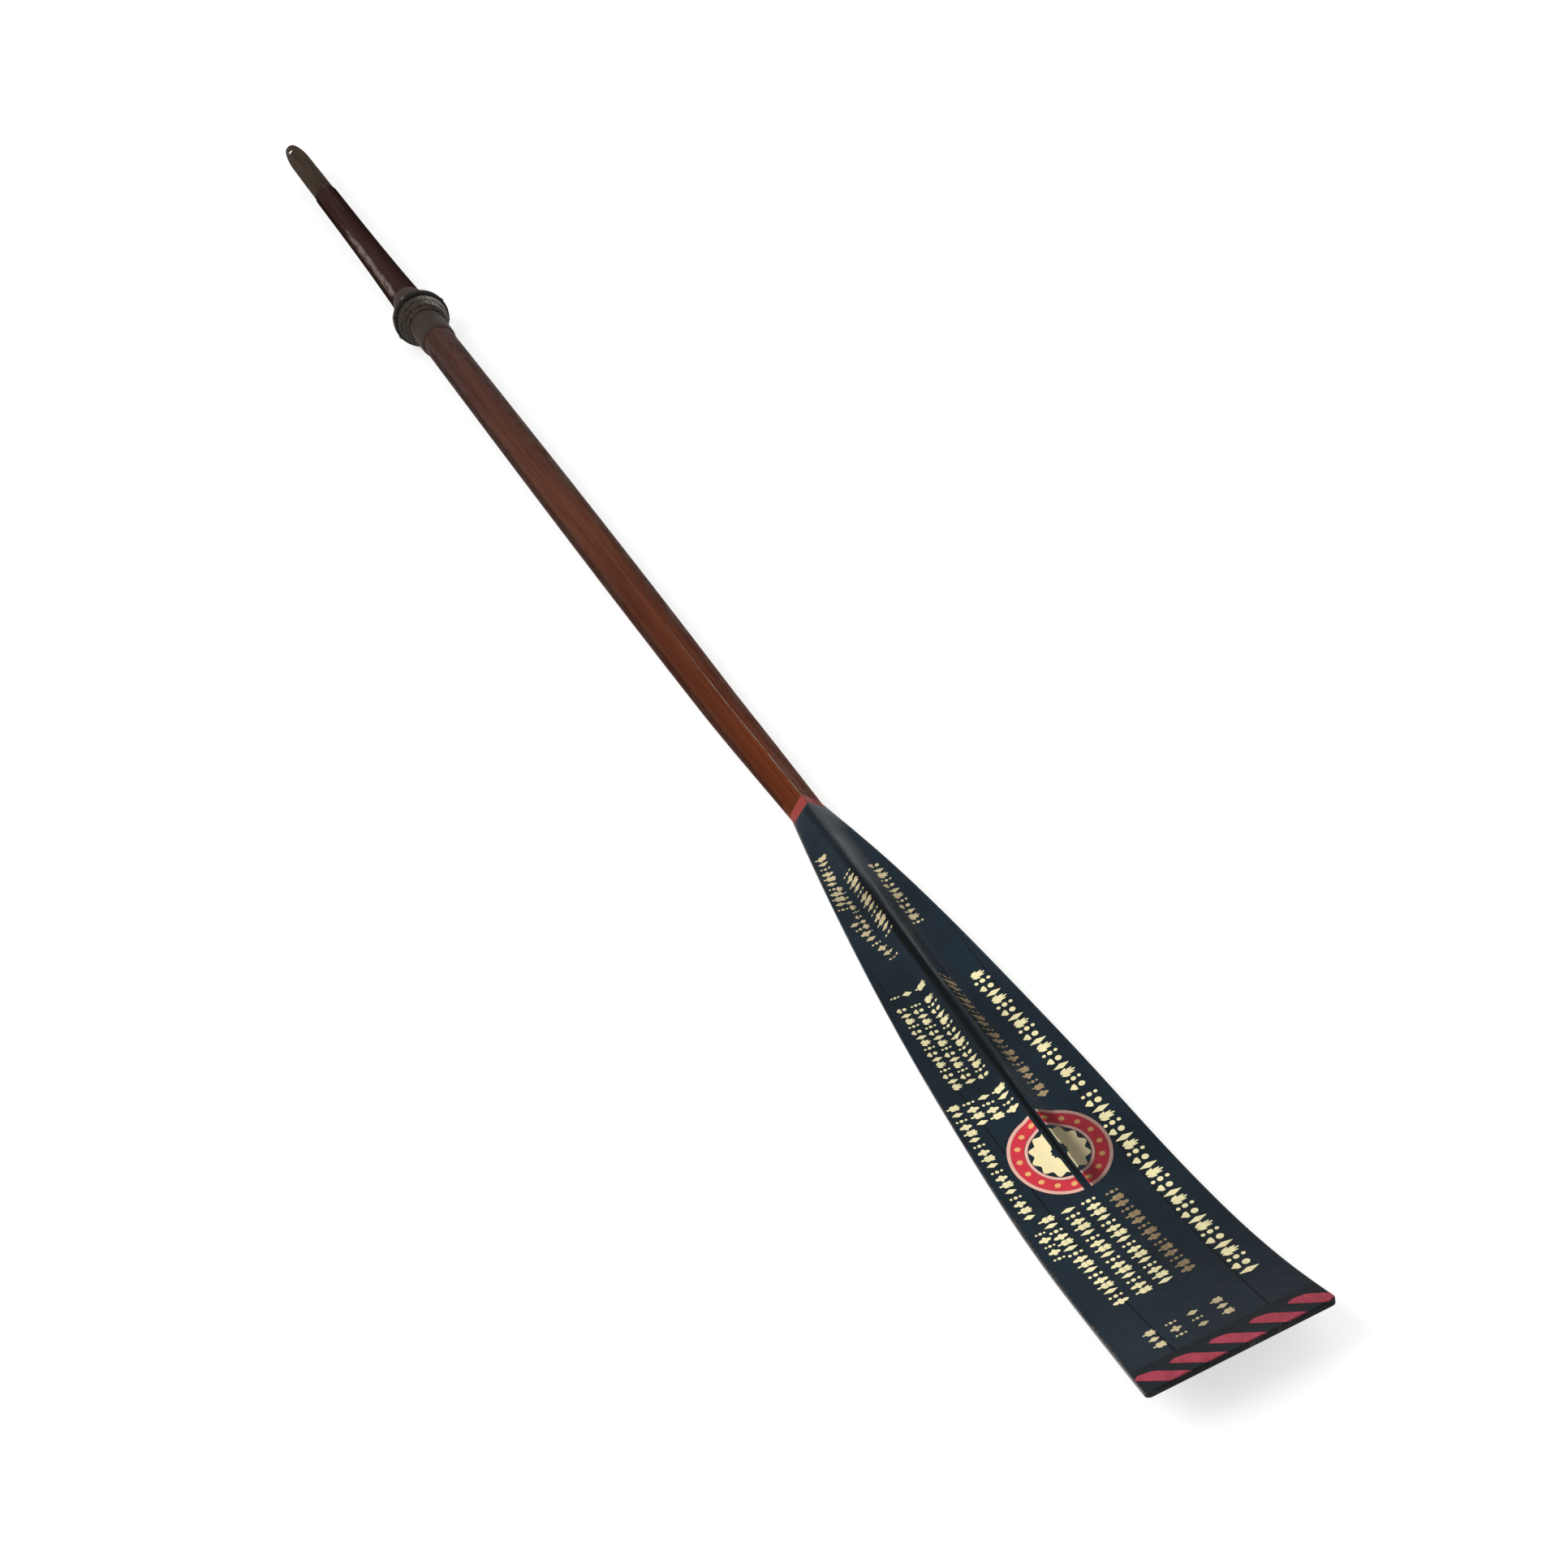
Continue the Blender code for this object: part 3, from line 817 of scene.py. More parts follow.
@dataclass(frozen=True)
class BladePaint:
    """Hard gloss paint in brush strokes along the blade, scuffed along its edges, with the painted
    highlights and painted shade that the mesh's wear holds.
    """

    name: str
    colour: Colour
    # The pale colour of rubbed paint, which also serves for painted highlights.
    scuffed_and_highlight: Colour
    variation: float = 0.25
    roughness: float = 0.24
    coat: float = 0.0
    specular: float = 0.10
    wear_start: float = 0.35
    # The near black that the paint darkens to, as painted shade and as grime along the boards' joints.
    darkening: Colour = (0.0035, 0.0040, 0.0045)

    def make(self) -> Material:
        """Make the material."""
        wires = Wiring(self.name)
        strokes = wires.cloud(wires.stretched(3.0, 260.0), 1.0, 3.0)
        patches = wires.cloud(wires.place, 9.0, 5.0, 0.6)
        specks = wires.cloud(wires.place, 420.0, 3.0, 0.7)
        darker = tuple(value * (1.0 - self.variation) for value in self.colour)
        lighter = tuple(min(1.0, value * (1.0 + self.variation)) for value in self.colour)
        colour = wires.blend(wires.span(patches, 0.35, 0.65), darker, lighter)
        colour = wires.blend(wires.span(strokes, 0.45, 0.70, 0.0, 0.35), colour, lighter)
        # Above 0 the wear is rubbed paint, and on the ridge's crest and right flank also a painted
        # highlight.
        rubbed = wires.sums("MULTIPLY", wires.worn(), wires.span(patches, 0.40, 0.62, 0.45, 1.3))
        rubbed = wires.sums("MULTIPLY", rubbed, wires.span(specks, 0.30, 0.60, 0.2, 1.0))
        colour = wires.blend(wires.span(rubbed, self.wear_start, 0.85), colour, self.scuffed_and_highlight)
        dull = wires.span(patches, 0.30, 0.70, self.roughness * 0.85, self.roughness * 1.35)
        # Below 0 the wear darkens the paint: painted shade on the ridge's left flank and the medallion's
        # right part, and grime along the boards' joints.
        darkened = wires.span(wires.worn(), -0.85, -0.10, 1.0, 0.0)
        colour = wires.blend(darkened, colour, self.darkening)
        dull = wires.sums("ADD", dull, wires.sums("MULTIPLY", darkened, 0.45))
        normal = wires.bump(wires.cloud(wires.place, 38.0, 2.0), 0.0008)
        normal = wires.bump(strokes, 0.00006, normal)
        return wires.finish(colour, dull, normal, Coat_Weight=self.coat, Coat_Roughness=0.12,
                            Specular_IOR_Level=self.specular)


@dataclass(frozen=True)
class VarnishedWood:
    """Straight-grained wood under old varnish, darker and greyer towards the handle."""

    name: str
    near_blade: Colour
    middle: Colour
    near_button: Colour
    inboard: Colour
    line: Colour
    line_strength: float = 0.42
    roughness: float = 0.34
    specular: float = 0.22
    reach: tuple[float, float] = (-1.85, 1.85)
    pore: Colour = (0.25, 0.18, 0.14)
    glow: Colour = (1.5, 1.25, 1.1)
    # The pale colour of rubbed varnish, which also serves for painted highlights.
    scuffed_and_highlight: Colour = (0.215, 0.182, 0.152)
    # The near black that the varnish darkens to as painted shade.
    darkening: Colour = (0.008, 0.006, 0.005)

    def make(self) -> Material:
        """Make the material."""
        wires = Wiring(self.name)
        low, high = self.reach
        run = wires.sums("DIVIDE", wires.sums("SUBTRACT", wires.along(), low), high - low)
        tone = wires.ramp(run, ((0.23, self.near_blade), (0.45, self.middle), (0.63, self.near_button),
                                (0.72, self.inboard)))
        waver = wires.cloud(wires.stretched(1.6, 12.0), 1.0, 2.0)
        rings = wires.cloud(wires.stretched(0.9, 330.0), 1.0, 2.0, 0.5, 0.6)
        broad = wires.cloud(wires.stretched(0.7, 75.0), 1.0, 3.0, 0.55)
        pores = wires.cloud(wires.stretched(14.0, 1300.0), 1.0, 2.0, 0.6)
        colour = wires.blend(wires.span(broad, 0.36, 0.64, 0.0, 0.55), tone, self.line, "MULTIPLY")
        colour = wires.blend(wires.span(rings, 0.47, 0.66, 0.0, self.line_strength), colour, self.line,
                             "MULTIPLY")
        colour = wires.blend(wires.span(pores, 0.56, 0.72, 0.0, 0.30), colour, self.pore, "MULTIPLY")
        colour = wires.blend(wires.span(waver, 0.30, 0.75, 0.0, 0.40), colour, self.glow, "MULTIPLY")
        # Above 0 the wear rubs the varnish pale, on the arris and in the inboard's left streak also as
        # painted highlight; below 0 it darkens the varnish as painted shade.
        scuffs = wires.cloud(wires.stretched(30.0, 120.0), 1.0, 5.0, 0.75)
        rubbed = wires.sums("MULTIPLY", wires.worn(), wires.span(scuffs, 0.32, 0.62, 0.40, 1.0))
        colour = wires.blend(wires.span(rubbed, 0.15, 0.7), colour, self.scuffed_and_highlight)
        darkened = wires.span(wires.worn(), -0.90, 0.0, 0.75, 0.0)
        colour = wires.blend(darkened, colour, self.darkening)
        dull = wires.span(scuffs, 0.35, 0.75, self.roughness * 0.8, self.roughness * 1.7)
        dull = wires.sums("ADD", dull, wires.sums("MULTIPLY", darkened, 0.45))
        normal = wires.bump(wires.cloud(wires.stretched(8.0, 60.0), 1.0, 3.0), 0.0006)
        normal = wires.bump(wires.sums("ADD", rings, pores), 0.00005, normal)
        return wires.finish(colour, dull, normal, Specular_IOR_Level=self.specular)


@dataclass(frozen=True)
class BareWood:
    """Unvarnished wood, greyed and polished by hands."""

    name: str
    clean: Colour
    grey: Colour
    pale: Colour
    ring: Colour = (0.45, 0.38, 0.30)
    specular: float = 0.01

    def make(self) -> Material:
        """Make the material."""
        wires = Wiring(self.name)
        rings = wires.cloud(wires.stretched(2.0, 380.0), 1.0, 3.0, 0.6, 0.5)
        broad = wires.cloud(wires.stretched(3.0, 50.0), 1.0, 4.0, 0.6)
        fibres = wires.cloud(wires.stretched(30.0, 1600.0), 1.0, 3.0, 0.7)
        colour = wires.blend(wires.span(broad, 0.35, 0.65), self.clean, self.grey)
        colour = wires.blend(wires.span(rings, 0.46, 0.62, 0.0, 0.45), colour, self.ring, "MULTIPLY")
        colour = wires.blend(wires.span(fibres, 0.50, 0.75, 0.0, 0.08), colour, self.pale)
        spots = wires.cloud(wires.place, 55.0, 5.0, 0.7)
        rubbed = wires.sums("MULTIPLY", wires.worn(), wires.span(spots, 0.25, 0.55, 0.45, 1.1))
        colour = wires.blend(wires.span(rubbed, 0.25, 0.8), colour, self.pale)
        dull = wires.span(broad, 0.30, 0.70, 0.48, 0.68)
        normal = wires.bump(wires.sums("ADD", rings, fibres), 0.00012, wires.bump(spots, 0.0004))
        return wires.finish(colour, dull, normal, Specular_IOR_Level=self.specular)


@dataclass(frozen=True)
class OldLeather:
    """Greased harness leather with a cracked grain, scuffed pale where it rubs and where the mesh holds a
    painted highlight.
    """

    name: str
    deep: Colour
    top: Colour
    scuffed_and_highlight: Colour
    roughness: float = 0.5
    specular: float = 0.04
    mottle: float = 0.5
    grain: float = 900.0
    crack: Colour = (0.012, 0.010, 0.008)

    def make(self) -> Material:
        """Make the material."""
        wires = Wiring(self.name)
        grain = wires.cells(wires.place, self.grain)
        cracks = wires.cells(wires.stretched(1.0, 1.6), self.grain * 0.14, "DISTANCE_TO_EDGE")
        patches = wires.cloud(wires.place, 30.0, 6.0, 0.65)
        fine = wires.cloud(wires.place, 240.0, 4.0, 0.7)
        colour = wires.blend(wires.span(patches, 0.32, 0.68), self.deep, self.top)
        colour = wires.blend(wires.span(fine, 0.40, 0.72, 0.0, self.mottle), colour, self.scuffed_and_highlight)
        colour = wires.blend(wires.span(cracks, 0.0, 0.05, 0.55, 0.0), colour, self.crack)
        rubbed = wires.sums("MULTIPLY", wires.worn(), wires.span(fine, 0.30, 0.62, 0.35, 1.15))
        colour = wires.blend(wires.span(rubbed, 0.2, 0.85), colour, self.scuffed_and_highlight)
        dull = wires.span(patches, 0.30, 0.70, self.roughness * 0.8, self.roughness * 1.3)
        normal = wires.bump(wires.span(cracks, 0.0, 0.09), 0.00035, wires.bump(patches, 0.0010))
        normal = wires.bump(grain, 0.00018, normal)
        return wires.finish(colour, dull, normal, Specular_IOR_Level=self.specular)


@dataclass(frozen=True)
class OldMetal:
    """A nail head's metal, tarnished and knocked."""

    name: str
    bright: Colour
    tarnish: Colour
    roughness: float = 0.36
    metallic: float = 1.0
    share: float = 0.6

    def make(self) -> Material:
        """Make the material."""
        wires = Wiring(self.name)
        patches = wires.cloud(wires.place, 520.0, 4.0, 0.6)
        dents = wires.cloud(wires.place, 1100.0, 3.0, 0.55)
        colour = wires.blend(wires.span(patches, 0.35, 0.65, 0.0, self.share), self.bright, self.tarnish)
        dull = wires.span(patches, 0.35, 0.65, self.roughness * 0.8, self.roughness * 1.5)
        return wires.finish(colour, dull, wires.bump(dents, 0.00012), Metallic=self.metallic)


@dataclass(frozen=True)
class LoomWearAndPaintedLight:
    """Where the loom's paint and varnish are rubbed or lightened as painted highlight, above 0, or darkened
    as painted shade, below 0.

    Distances count from the tip, and left and right are as seen from there. A pair is a place and
    its spread, or a width at the tip and its growth. Across the varnish they are shares.
    """

    shape: OarShape
    side_painted_shade: float = 0.6
    side_starts: Fade = Fade(0.76, 0.19)
    side_run: float = 0.03

    back_wear: float = 0.55
    back_half: float = 0.012
    back_rest: Flat = (0.20, 0.10)
    back_end: float = 0.6
    end_reach: float = 0.03

    crest_wear_and_highlight: float = 1.1
    crest_half: float = 0.0022
    crest_starts: Fade = Fade(0.26, 0.2)
    left_starts: Fade = Fade(0.0004, 0.0010)
    left_foot: Flat = (0.0040, 0.0090)
    left_full: float = 0.30
    left_from_tip: Fade = Fade(0.20, 0.10)
    left_to_neck: Fade = Fade(0.62, 0.15)
    left_loss: float = 0.45
    right_wear_and_highlight: float = 0.50
    right_starts: Fade = Fade(0.0005, 0.001)
    right_ends: Fade = Fade(0.0075, 0.003)
    right_from_tip: Fade = Fade(0.33, 0.08)
    right_to_neck: Fade = Fade(0.72, 0.08)
    right_loss: float = 0.55

    arris_wear_and_highlight: float = 0.75
    arris_half: float = 0.0014
    arris_ends: Fade = Fade(1.0, 0.6)
    leather_wear: float = 0.25
    leather_reach: float = 0.10
    end_wear: float = 0.4
    inboard_run: float = 0.02
    streak_highlight: float = 0.72
    streak_place: Flat = (0.72, 0.22)
    streak_ends: Fade = Fade(3.20, -0.25)
    middle_wear: float = 0.30
    middle_place: Flat = (-0.10, 0.14)
    middle_starts: Fade = Fade(3.02, 0.15)
    right_painted_shade: float = 0.38
    dark_starts: Fade = Fade(0.22, 0.25)
    unshaded_share: float = 0.9
    unshaded_ends: Fade = Fade(0.93, -0.05)
    unshaded_starts: Fade = Fade(0.0, 0.2)

    def back(self, s: float, y: float) -> float:
        """How rubbed the back is at s and y, where the oar lies on the ground."""
        end = self.back_end * smoothstep((s - self.shape.loom_end + self.end_reach) / self.end_reach)
        return self.back_wear * (bell(s, *self.back_rest) + end) * near(abs(y), self.back_half)

    def ridge(self, s: float, y: float) -> float:
        """How pale the painted ridge is along its crest and right flank, rubbed and painted as a highlight,
        less the painted shade down its left flank.

        Args:
            s: Metres from the tip.
            y: Metres off the middle.

        Returns:
            The wear and painted highlight less the painted shade.
        """
        # The crest is rubbed pale and also carries a painted highlight.
        crest = self.crest_wear_and_highlight * near(abs(y), self.crest_half) * self.crest_starts.at(s)
        # The left flank is darkened as painted shade, fading in from the tip and easing towards the neck.
        foot = self.left_foot[0] + self.left_foot[1] * (s / self.shape.blade_length)
        left_ends = Fade(foot * self.left_full, foot * (1.0 - self.left_full))
        left = self.left_starts.at(y) * (1.0 - left_ends.at(y))
        left *= self.left_from_tip.at(s) * (1.0 - self.left_loss * self.left_to_neck.at(s))
        # The right flank is lightened, partly as rubbed paint and partly as a painted highlight of a lit
        # flank.
        right = self.right_wear_and_highlight * self.right_starts.at(-y) * (1.0 - self.right_ends.at(-y))
        right *= self.right_from_tip.at(s) * (1.0 - self.right_loss * self.right_to_neck.at(s))
        return max(crest, right) - left

    def varnish(self, s: float, y: float, side: float) -> float:
        """How pale the varnish is, rubbed by the leather and at the end, rubbed and painted as a highlight
        on the arris, painted as a highlight streak on the inboard's left and rubbed along its top near the
        grip, less the painted shade.

        Args:
            s: Metres from the tip.
            y: Metres off the middle.
            side: The painted shade along both sides.

        Returns:
            The wear and painted highlights less the painted shade.
        """
        shape = self.shape
        across = y / shape.spine_width(s)
        inboard = smoothstep((s - shape.sleeve_end) / self.inboard_run)
        # The arris is pale partly from rubbing and partly as a painted highlight.
        arris = near(abs(y), self.arris_half) * (1.0 - self.arris_ends.at(s))
        leather = min(abs(s - shape.sleeve_start), abs(s - shape.sleeve_end))
        rubbed = self.leather_wear * near(leather, self.leather_reach)
        rubbed += self.end_wear * near(shape.loom_end - s, self.end_reach)
        # A painted highlight streak runs along the inboard's left side.
        streak = self.streak_highlight * bell(across, *self.streak_place) * inboard * self.streak_ends.at(s)
        middle = self.middle_wear * bell(across, *self.middle_place) * inboard * self.middle_starts.at(s)
        # The sides' painted shade is lifted on the inboard's left, under that highlight, and the right
        # side, the red band's too, is darkened as painted shade.
        clean = inboard * self.unshaded_ends.at(across) * self.unshaded_starts.at(across)
        dark = self.right_painted_shade * self.dark_starts.at(-across) * (1.0 - arris)
        darkening = max(side * (1.0 - self.unshaded_share * clean), dark)
        return max(rubbed, self.arris_wear_and_highlight * arris, streak, middle) - darkening

    def at(self, s: float, y: float, face: bool = True) -> float:
        """How worn the loom is, with its painted highlights and shade.

        Args:
            s: Metres from the tip.
            y: Metres off the middle.
            face: Whether it is the face half, the more worn one.

        Returns:
            The wear and painted highlights less the painted shade.
        """
        # Both sides of the loom, where its round turns away from the light, are darkened as painted shade.
        side = self.side_painted_shade * self.side_starts.at(abs(y / self.shape.spine_width(s)))
        side *= smoothstep((s - self.shape.band[1]) / self.side_run)
        if not face:
            return self.back(s, y) - side
        return self.ridge(s, y) if s < self.shape.band[0] else self.varnish(s, y, side)


@dataclass
class Loom:
    """The loom: a face half and a back half that run into the blade as its spine, and the back strip."""

    shape: OarShape
    strip_half: float = 0.0050
    strip_depth: float = 0.0060
    strip_from_neck: float = 0.020
    strip_shares: tuple[float, ...] = (-1.0, -0.92, -0.5, 0.0, 0.5, 0.92, 1.0)
    strip_margin: float = 0.001
    groove_shares: tuple[float, ...] = (0.0, 0.05, 0.14, 0.3, 0.6, 1.0)
    across: int = 15
    last_turn: float = 88.5
    bore_steps: int = 20
    bore_mouth: float = 0.04
    bore_first: float = 0.25

    def finish_at(self, s: float) -> int:
        """The place in the list of the finish that covers the loom at a distance from the tip."""
        return sum(s >= end for end in (*self.shape.band, self.shape.outboard))

    def offsets(self, s: float) -> list[float]:
        """The offsets of a half's columns, from the middle to one side, with one on the strip's edge.

        Args:
            s: Metres from the tip.

        Returns:
            The offsets, rising.
        """
        width = self.shape.spine_width(s)
        groove = self.strip_half + self.shape.hairline
        inner = [groove * share for share in self.groove_shares]
        turn, last = asin(min(0.95, groove / width)), radians(self.last_turn)
        count = self.across
        return inner + [width * sin(turn + (last - turn) * i / count) for i in range(1, count + 1)]

    def make_half(self, half: Half, finishes: Sequence[Material]) -> Piece:
        """Make a half of the loom, bored from the handle's end to near the neck.

        Args:
            half: Which half.
            finishes: The loom's materials.

        Returns:
            The piece.
        """
        shape, draft, wear = self.shape, MeshDraft(), LoomWearAndPaintedLight(self.shape)
        sign = 1.0 if half is Half.FACE else -1.0
        bore, groove = self.bore_steps, len(self.groove_shares) - 1
        bore_start = shape.blade_length + shape.hollow_from_neck
        groove_start = shape.blade_length + self.strip_from_neck - shape.hairline
        groove_end = shape.loom_end - shape.end_round + shape.hairline
        stations = shape.stations() + [bore_start, bore_start + self.bore_mouth]
        if half is Half.BACK:
            stations += [groove_start, groove_end]
        stations = sorted(set(stations))
        last_column = groove + self.across
        for i, s in enumerate(stations):
            for j, offset in enumerate(self.offsets(s)):
                for side in (-1.0, 1.0):
                    y = side * offset
                    level = shape.levels(s, y)[0 if half is Half.FACE else 1]
                    worn = wear.at(s, y, half is Half.FACE)
                    draft.vertex((i, int(side) * j), shape.point(s, y, level), worn)
            level = shape.split_level(s) + sign * shape.hairline / 2
            for side in (-1, 1):
                draft.vertex((i, "side", side), shape.point(s, side * shape.spine_width(s), level))
            if s >= bore_start:
                widening = min(1.0, (s - bore_start) / self.bore_mouth)
                radius = shape.hollow * (self.bore_first + (1.0 - self.bore_first) * widening)
                for k in range(bore + 1):
                    turn = pi * k / bore
                    z = sign * max(shape.hairline / 2, radius * sin(turn))
                    draft.vertex((i, "bore", k), shape.point(s, -radius * cos(turn), z))
            if half is Half.BACK and groove_start <= s <= groove_end:
                floor = shape.levels(s, 0.0)[1] + self.strip_depth + shape.hairline
                edge = self.strip_half + shape.hairline
                for side in (-1, 1):
                    draft.vertex((i, "floor", side), shape.point(s, side * edge, floor))
        columns = list(range(-last_column, last_column + 1))
        for i, (s, following) in enumerate(zip(stations, stations[1:])):
            finish = self.finish_at((s + following) / 2)
            grooved = half is Half.BACK and s >= groove_start and following <= groove_end
            for j, k in zip(columns, columns[1:]):
                if not grooved or abs(j + k) > 2 * groove:
                    draft.wall(i, (j,), (k,), finish)
            for side in (-1, 1):
                draft.wall(i, (side * last_column,), ("side", side), finish)
                if grooved:
                    draft.wall(i, (side * groove,), ("floor", side), finish)
            if grooved:
                draft.wall(i, ("floor", -1), ("floor", 1), finish)
            if s >= bore_start:
                draft.wall(i, ("side", -1), ("bore", 0), finish)
                draft.wall(i, ("side", 1), ("bore", bore), finish)
                for k in range(bore):
                    draft.wall(i, ("bore", k), ("bore", k + 1), finish)
            elif following >= bore_start:
                draft.face(((i, "side", -1), (i, "side", 1), (i + 1, "side", 1), (i + 1, "bore", bore),
                            (i + 1, "bore", 0), (i + 1, "side", -1)), finish)
                draft.face([(i + 1, "bore", k) for k in range(bore + 1)], finish)
            else:
                draft.wall(i, ("side", -1), ("side", 1), finish)
        for i, s in enumerate(stations):
            if half is Half.BACK and s in (groove_start, groove_end):
                inner = [(i, j) for j in range(-groove, groove + 1)]
                draft.face(inner + [(i, "floor", 1), (i, "floor", -1)], self.finish_at(s))
        draft.face([(0, j) for j in columns] + [(0, "side", 1), (0, "side", -1)], 0)
        end = len(stations) - 1
        rim = [(end, "side", -1)] + [(end, j) for j in columns] + [(end, "side", 1)]
        draft.face(rim + [(end, "bore", k) for k in range(bore, -1, -1)], len(finishes) - 1)
        name = f"loom_{half.value}_half"
        return draft.build(f"{name}_wood", finishes, 40.0, name, "varnished_spruce")

    def make_strip(self) -> Piece:
        """Make the hardwood strip that is let into the loom's back."""
        shape, draft, wear = self.shape, MeshDraft(), LoomWearAndPaintedLight(self.shape)
        first = shape.blade_length + self.strip_from_neck
        last = shape.loom_end - shape.end_round
        margin = self.strip_margin
        inner = [s for s in shape.stations() if first + margin < s < last - margin]
        rings = []
        for i, s in enumerate([first] + inner + [last]):
            ring = []
            for j, share in enumerate(self.strip_shares):
                y = share * self.strip_half
                place = shape.point(s, y, shape.levels(s, y)[1])
                ring.append(draft.vertex((i, j), place, wear.at(s, 0.0, False)))
            seat = shape.levels(s, 0.0)[1] + self.strip_depth
            ring.append(draft.vertex((i, "right"), shape.point(s, self.strip_half, seat)))
            ring.append(draft.vertex((i, "left"), shape.point(s, -self.strip_half, seat)))
            rings.append(ring)
        draft.loft(rings)
        name = "loom_back_strip"
        return draft.build(f"{name}_wood", [HARDWOOD.make()], 35.0, name, "hardwood_strip")

    def build(self) -> list[Material]:
        """Make the loom.

        Returns:
            The loom's materials from the blade to the handle, which the blade shares.
        """
        finishes = [NAVY_PAINT.make(), RED_BAND.make(), SPRUCE.make(), INBOARD_SPRUCE.make()]
        self.make_half(Half.FACE, finishes)
        self.make_half(Half.BACK, finishes)
        self.make_strip()
        return finishes


@dataclass
class Blade:
    """The blade: an inner and an outer cheek on each side of the spine, and the strip across the tip."""

    shape: OarShape
    edge_columns: tuple[float, ...] = (1.0, 0.77, 0.50, 0.27, 0.12, 0.04, 0.008)
    flat_columns: tuple[float, ...] = (0.0, 0.08, 0.18, 0.30, 0.44, 0.58, 0.72, 0.86)
    feather: float = 0.00028
    edge_rub: float = 0.0022
    joint_grime: float = 0.75
    joint_spread: float = 0.0007
    tip_stations: tuple[float, ...] = (0.002, 0.003, 0.004, 0.006, 0.0085, 0.0115, 0.015, 0.020, 0.025)
    tip_columns: int = 14

    def wear_at(self, s: float, y: float) -> float:
        """How worn the paint is, most along the outline, or grimy, along the boards' joint.

        Args:
            s: Metres from the tip.
            y: Metres off the middle.

        Returns:
            The wear, from 0 to 1, less the grime.
        """
        edge = exp(-self.shape.from_edge(s, y) / self.edge_rub)
        joint = self.joint_grime * exp(-abs(abs(y) - self.shape.seam(s)) / self.joint_spread)
        return edge - joint if s > self.shape.tip_strip else edge

    def offsets(self, inner: float, outer: float) -> list[float]:
        """The offsets of a board's columns, dense near its outer side.

        Args:
            inner: The board's inner side.
            outer: Its outer side.

        Returns:
            The offsets without the outer side's own.
        """
        reach = min(self.shape.edge_round, (outer - inner) * 0.6)
        flat = [inner + (outer - reach - inner) * share for share in self.flat_columns]
        return flat + [outer - reach * share for share in self.edge_columns]

    def make_cheek(self, side: Side, board: Board,
                   finishes: Sequence[Material]) -> Piece:
        """Make one board of the blade.

        Args:
            side: Which side of the spine.
            board: Which board of that side.
            finishes: The loom's materials, the paint first.

        Returns:
            The piece.
        """
        shape, draft, rings = self.shape, MeshDraft(), []
        chosen: list[int] = []
        for i, s in enumerate(shape.stations()):
            if board is Board.INNER:
                inner = shape.spine_width(s) + shape.hairline
                outer = min(shape.seam(s) - shape.hairline / 2, shape.plain_width(s))
            else:
                inner, outer = shape.seam(s) + shape.hairline / 2, shape.plain_width(s)
            if outer - inner < self.feather:
                break
            face, back = [], []
            for j, offset in enumerate(self.offsets(inner, outer)):
                y = side.value * offset
                over, under = shape.levels(s, y)
                wear = self.wear_at(s, y)
                face.append(draft.vertex((i, j, "face"), shape.point(s, y, over), wear))
                back.append(draft.vertex((i, j, "back"), shape.point(s, y, under), wear))
            y = side.value * outer
            middle = sum(shape.levels(s, y)) / 2
            edge = draft.vertex((i, "edge"), shape.point(s, y, middle), self.wear_at(s, y))
            rings.append(face + [edge] + list(reversed(back)))
            chosen.append(1 if s > shape.band[0] - shape.hairline else 0)
        draft.loft(rings, chosen)
        name = f"blade_{side.name.lower()}_{board.value}_cheek"
        return draft.build(f"{name}_board", finishes[:2], 50.0, name, "blade_paint")

    def make_tip(self) -> Piece:
        """Make the strip across the tip, rounded round its end and corners."""
        shape, draft = self.shape, MeshDraft()
        near_end = [shape.tip_round * share for share in reversed(self.edge_columns)]
        stations = [0.0, *near_end, *self.tip_stations, shape.tip_strip]
        shares = steps(0.0, 1.0, self.tip_columns)[:-1]
        for i, s in enumerate(stations):
            width = shape.outline(s)
            reach = shape.tip_round
            offsets = [(width - reach) * share for share in shares]
            offsets += [width - reach * share for share in self.edge_columns] + [width]
            last = len(offsets) - 1
            for j, offset in enumerate(offsets):
                for side in (-1, 1):
                    y = side * offset
                    over, under = shape.levels(s, y)
                    wear = self.wear_at(s, y)
                    draft.vertex((i, side * j, "face"), shape.point(s, y, over), wear)
                    draft.vertex((i, side * j, "back"), shape.point(s, y, under), wear)
        columns = list(range(-last, last + 1))
        for i in range(len(stations) - 1):
            for j, k in zip(columns, columns[1:]):
                for skin in ("face", "back"):
                    draft.wall(i, (j, skin), (k, skin))
            for j in (-last, last):
                draft.face(((i, j, "face"), (i + 1, j, "face"), (i + 1, j, "back"), (i, j, "back")))
        for end in (0, len(stations) - 1):
            draft.face([(end, j, "face") for j in columns] + [(end, j, "back") for j in reversed(columns)])
        name = "blade_tip_strip"
        return draft.build(f"{name}_board", [TIP_PAINT.make()], 50.0, name, "blade_paint")

    def build(self, finishes: Sequence[Material]) -> None:
        """Make the blade.

        Args:
            finishes: The loom's materials, the paint first.
        """
        for side in Side:
            for board in Board:
                self.make_cheek(side, board, finishes)
        self.make_tip()


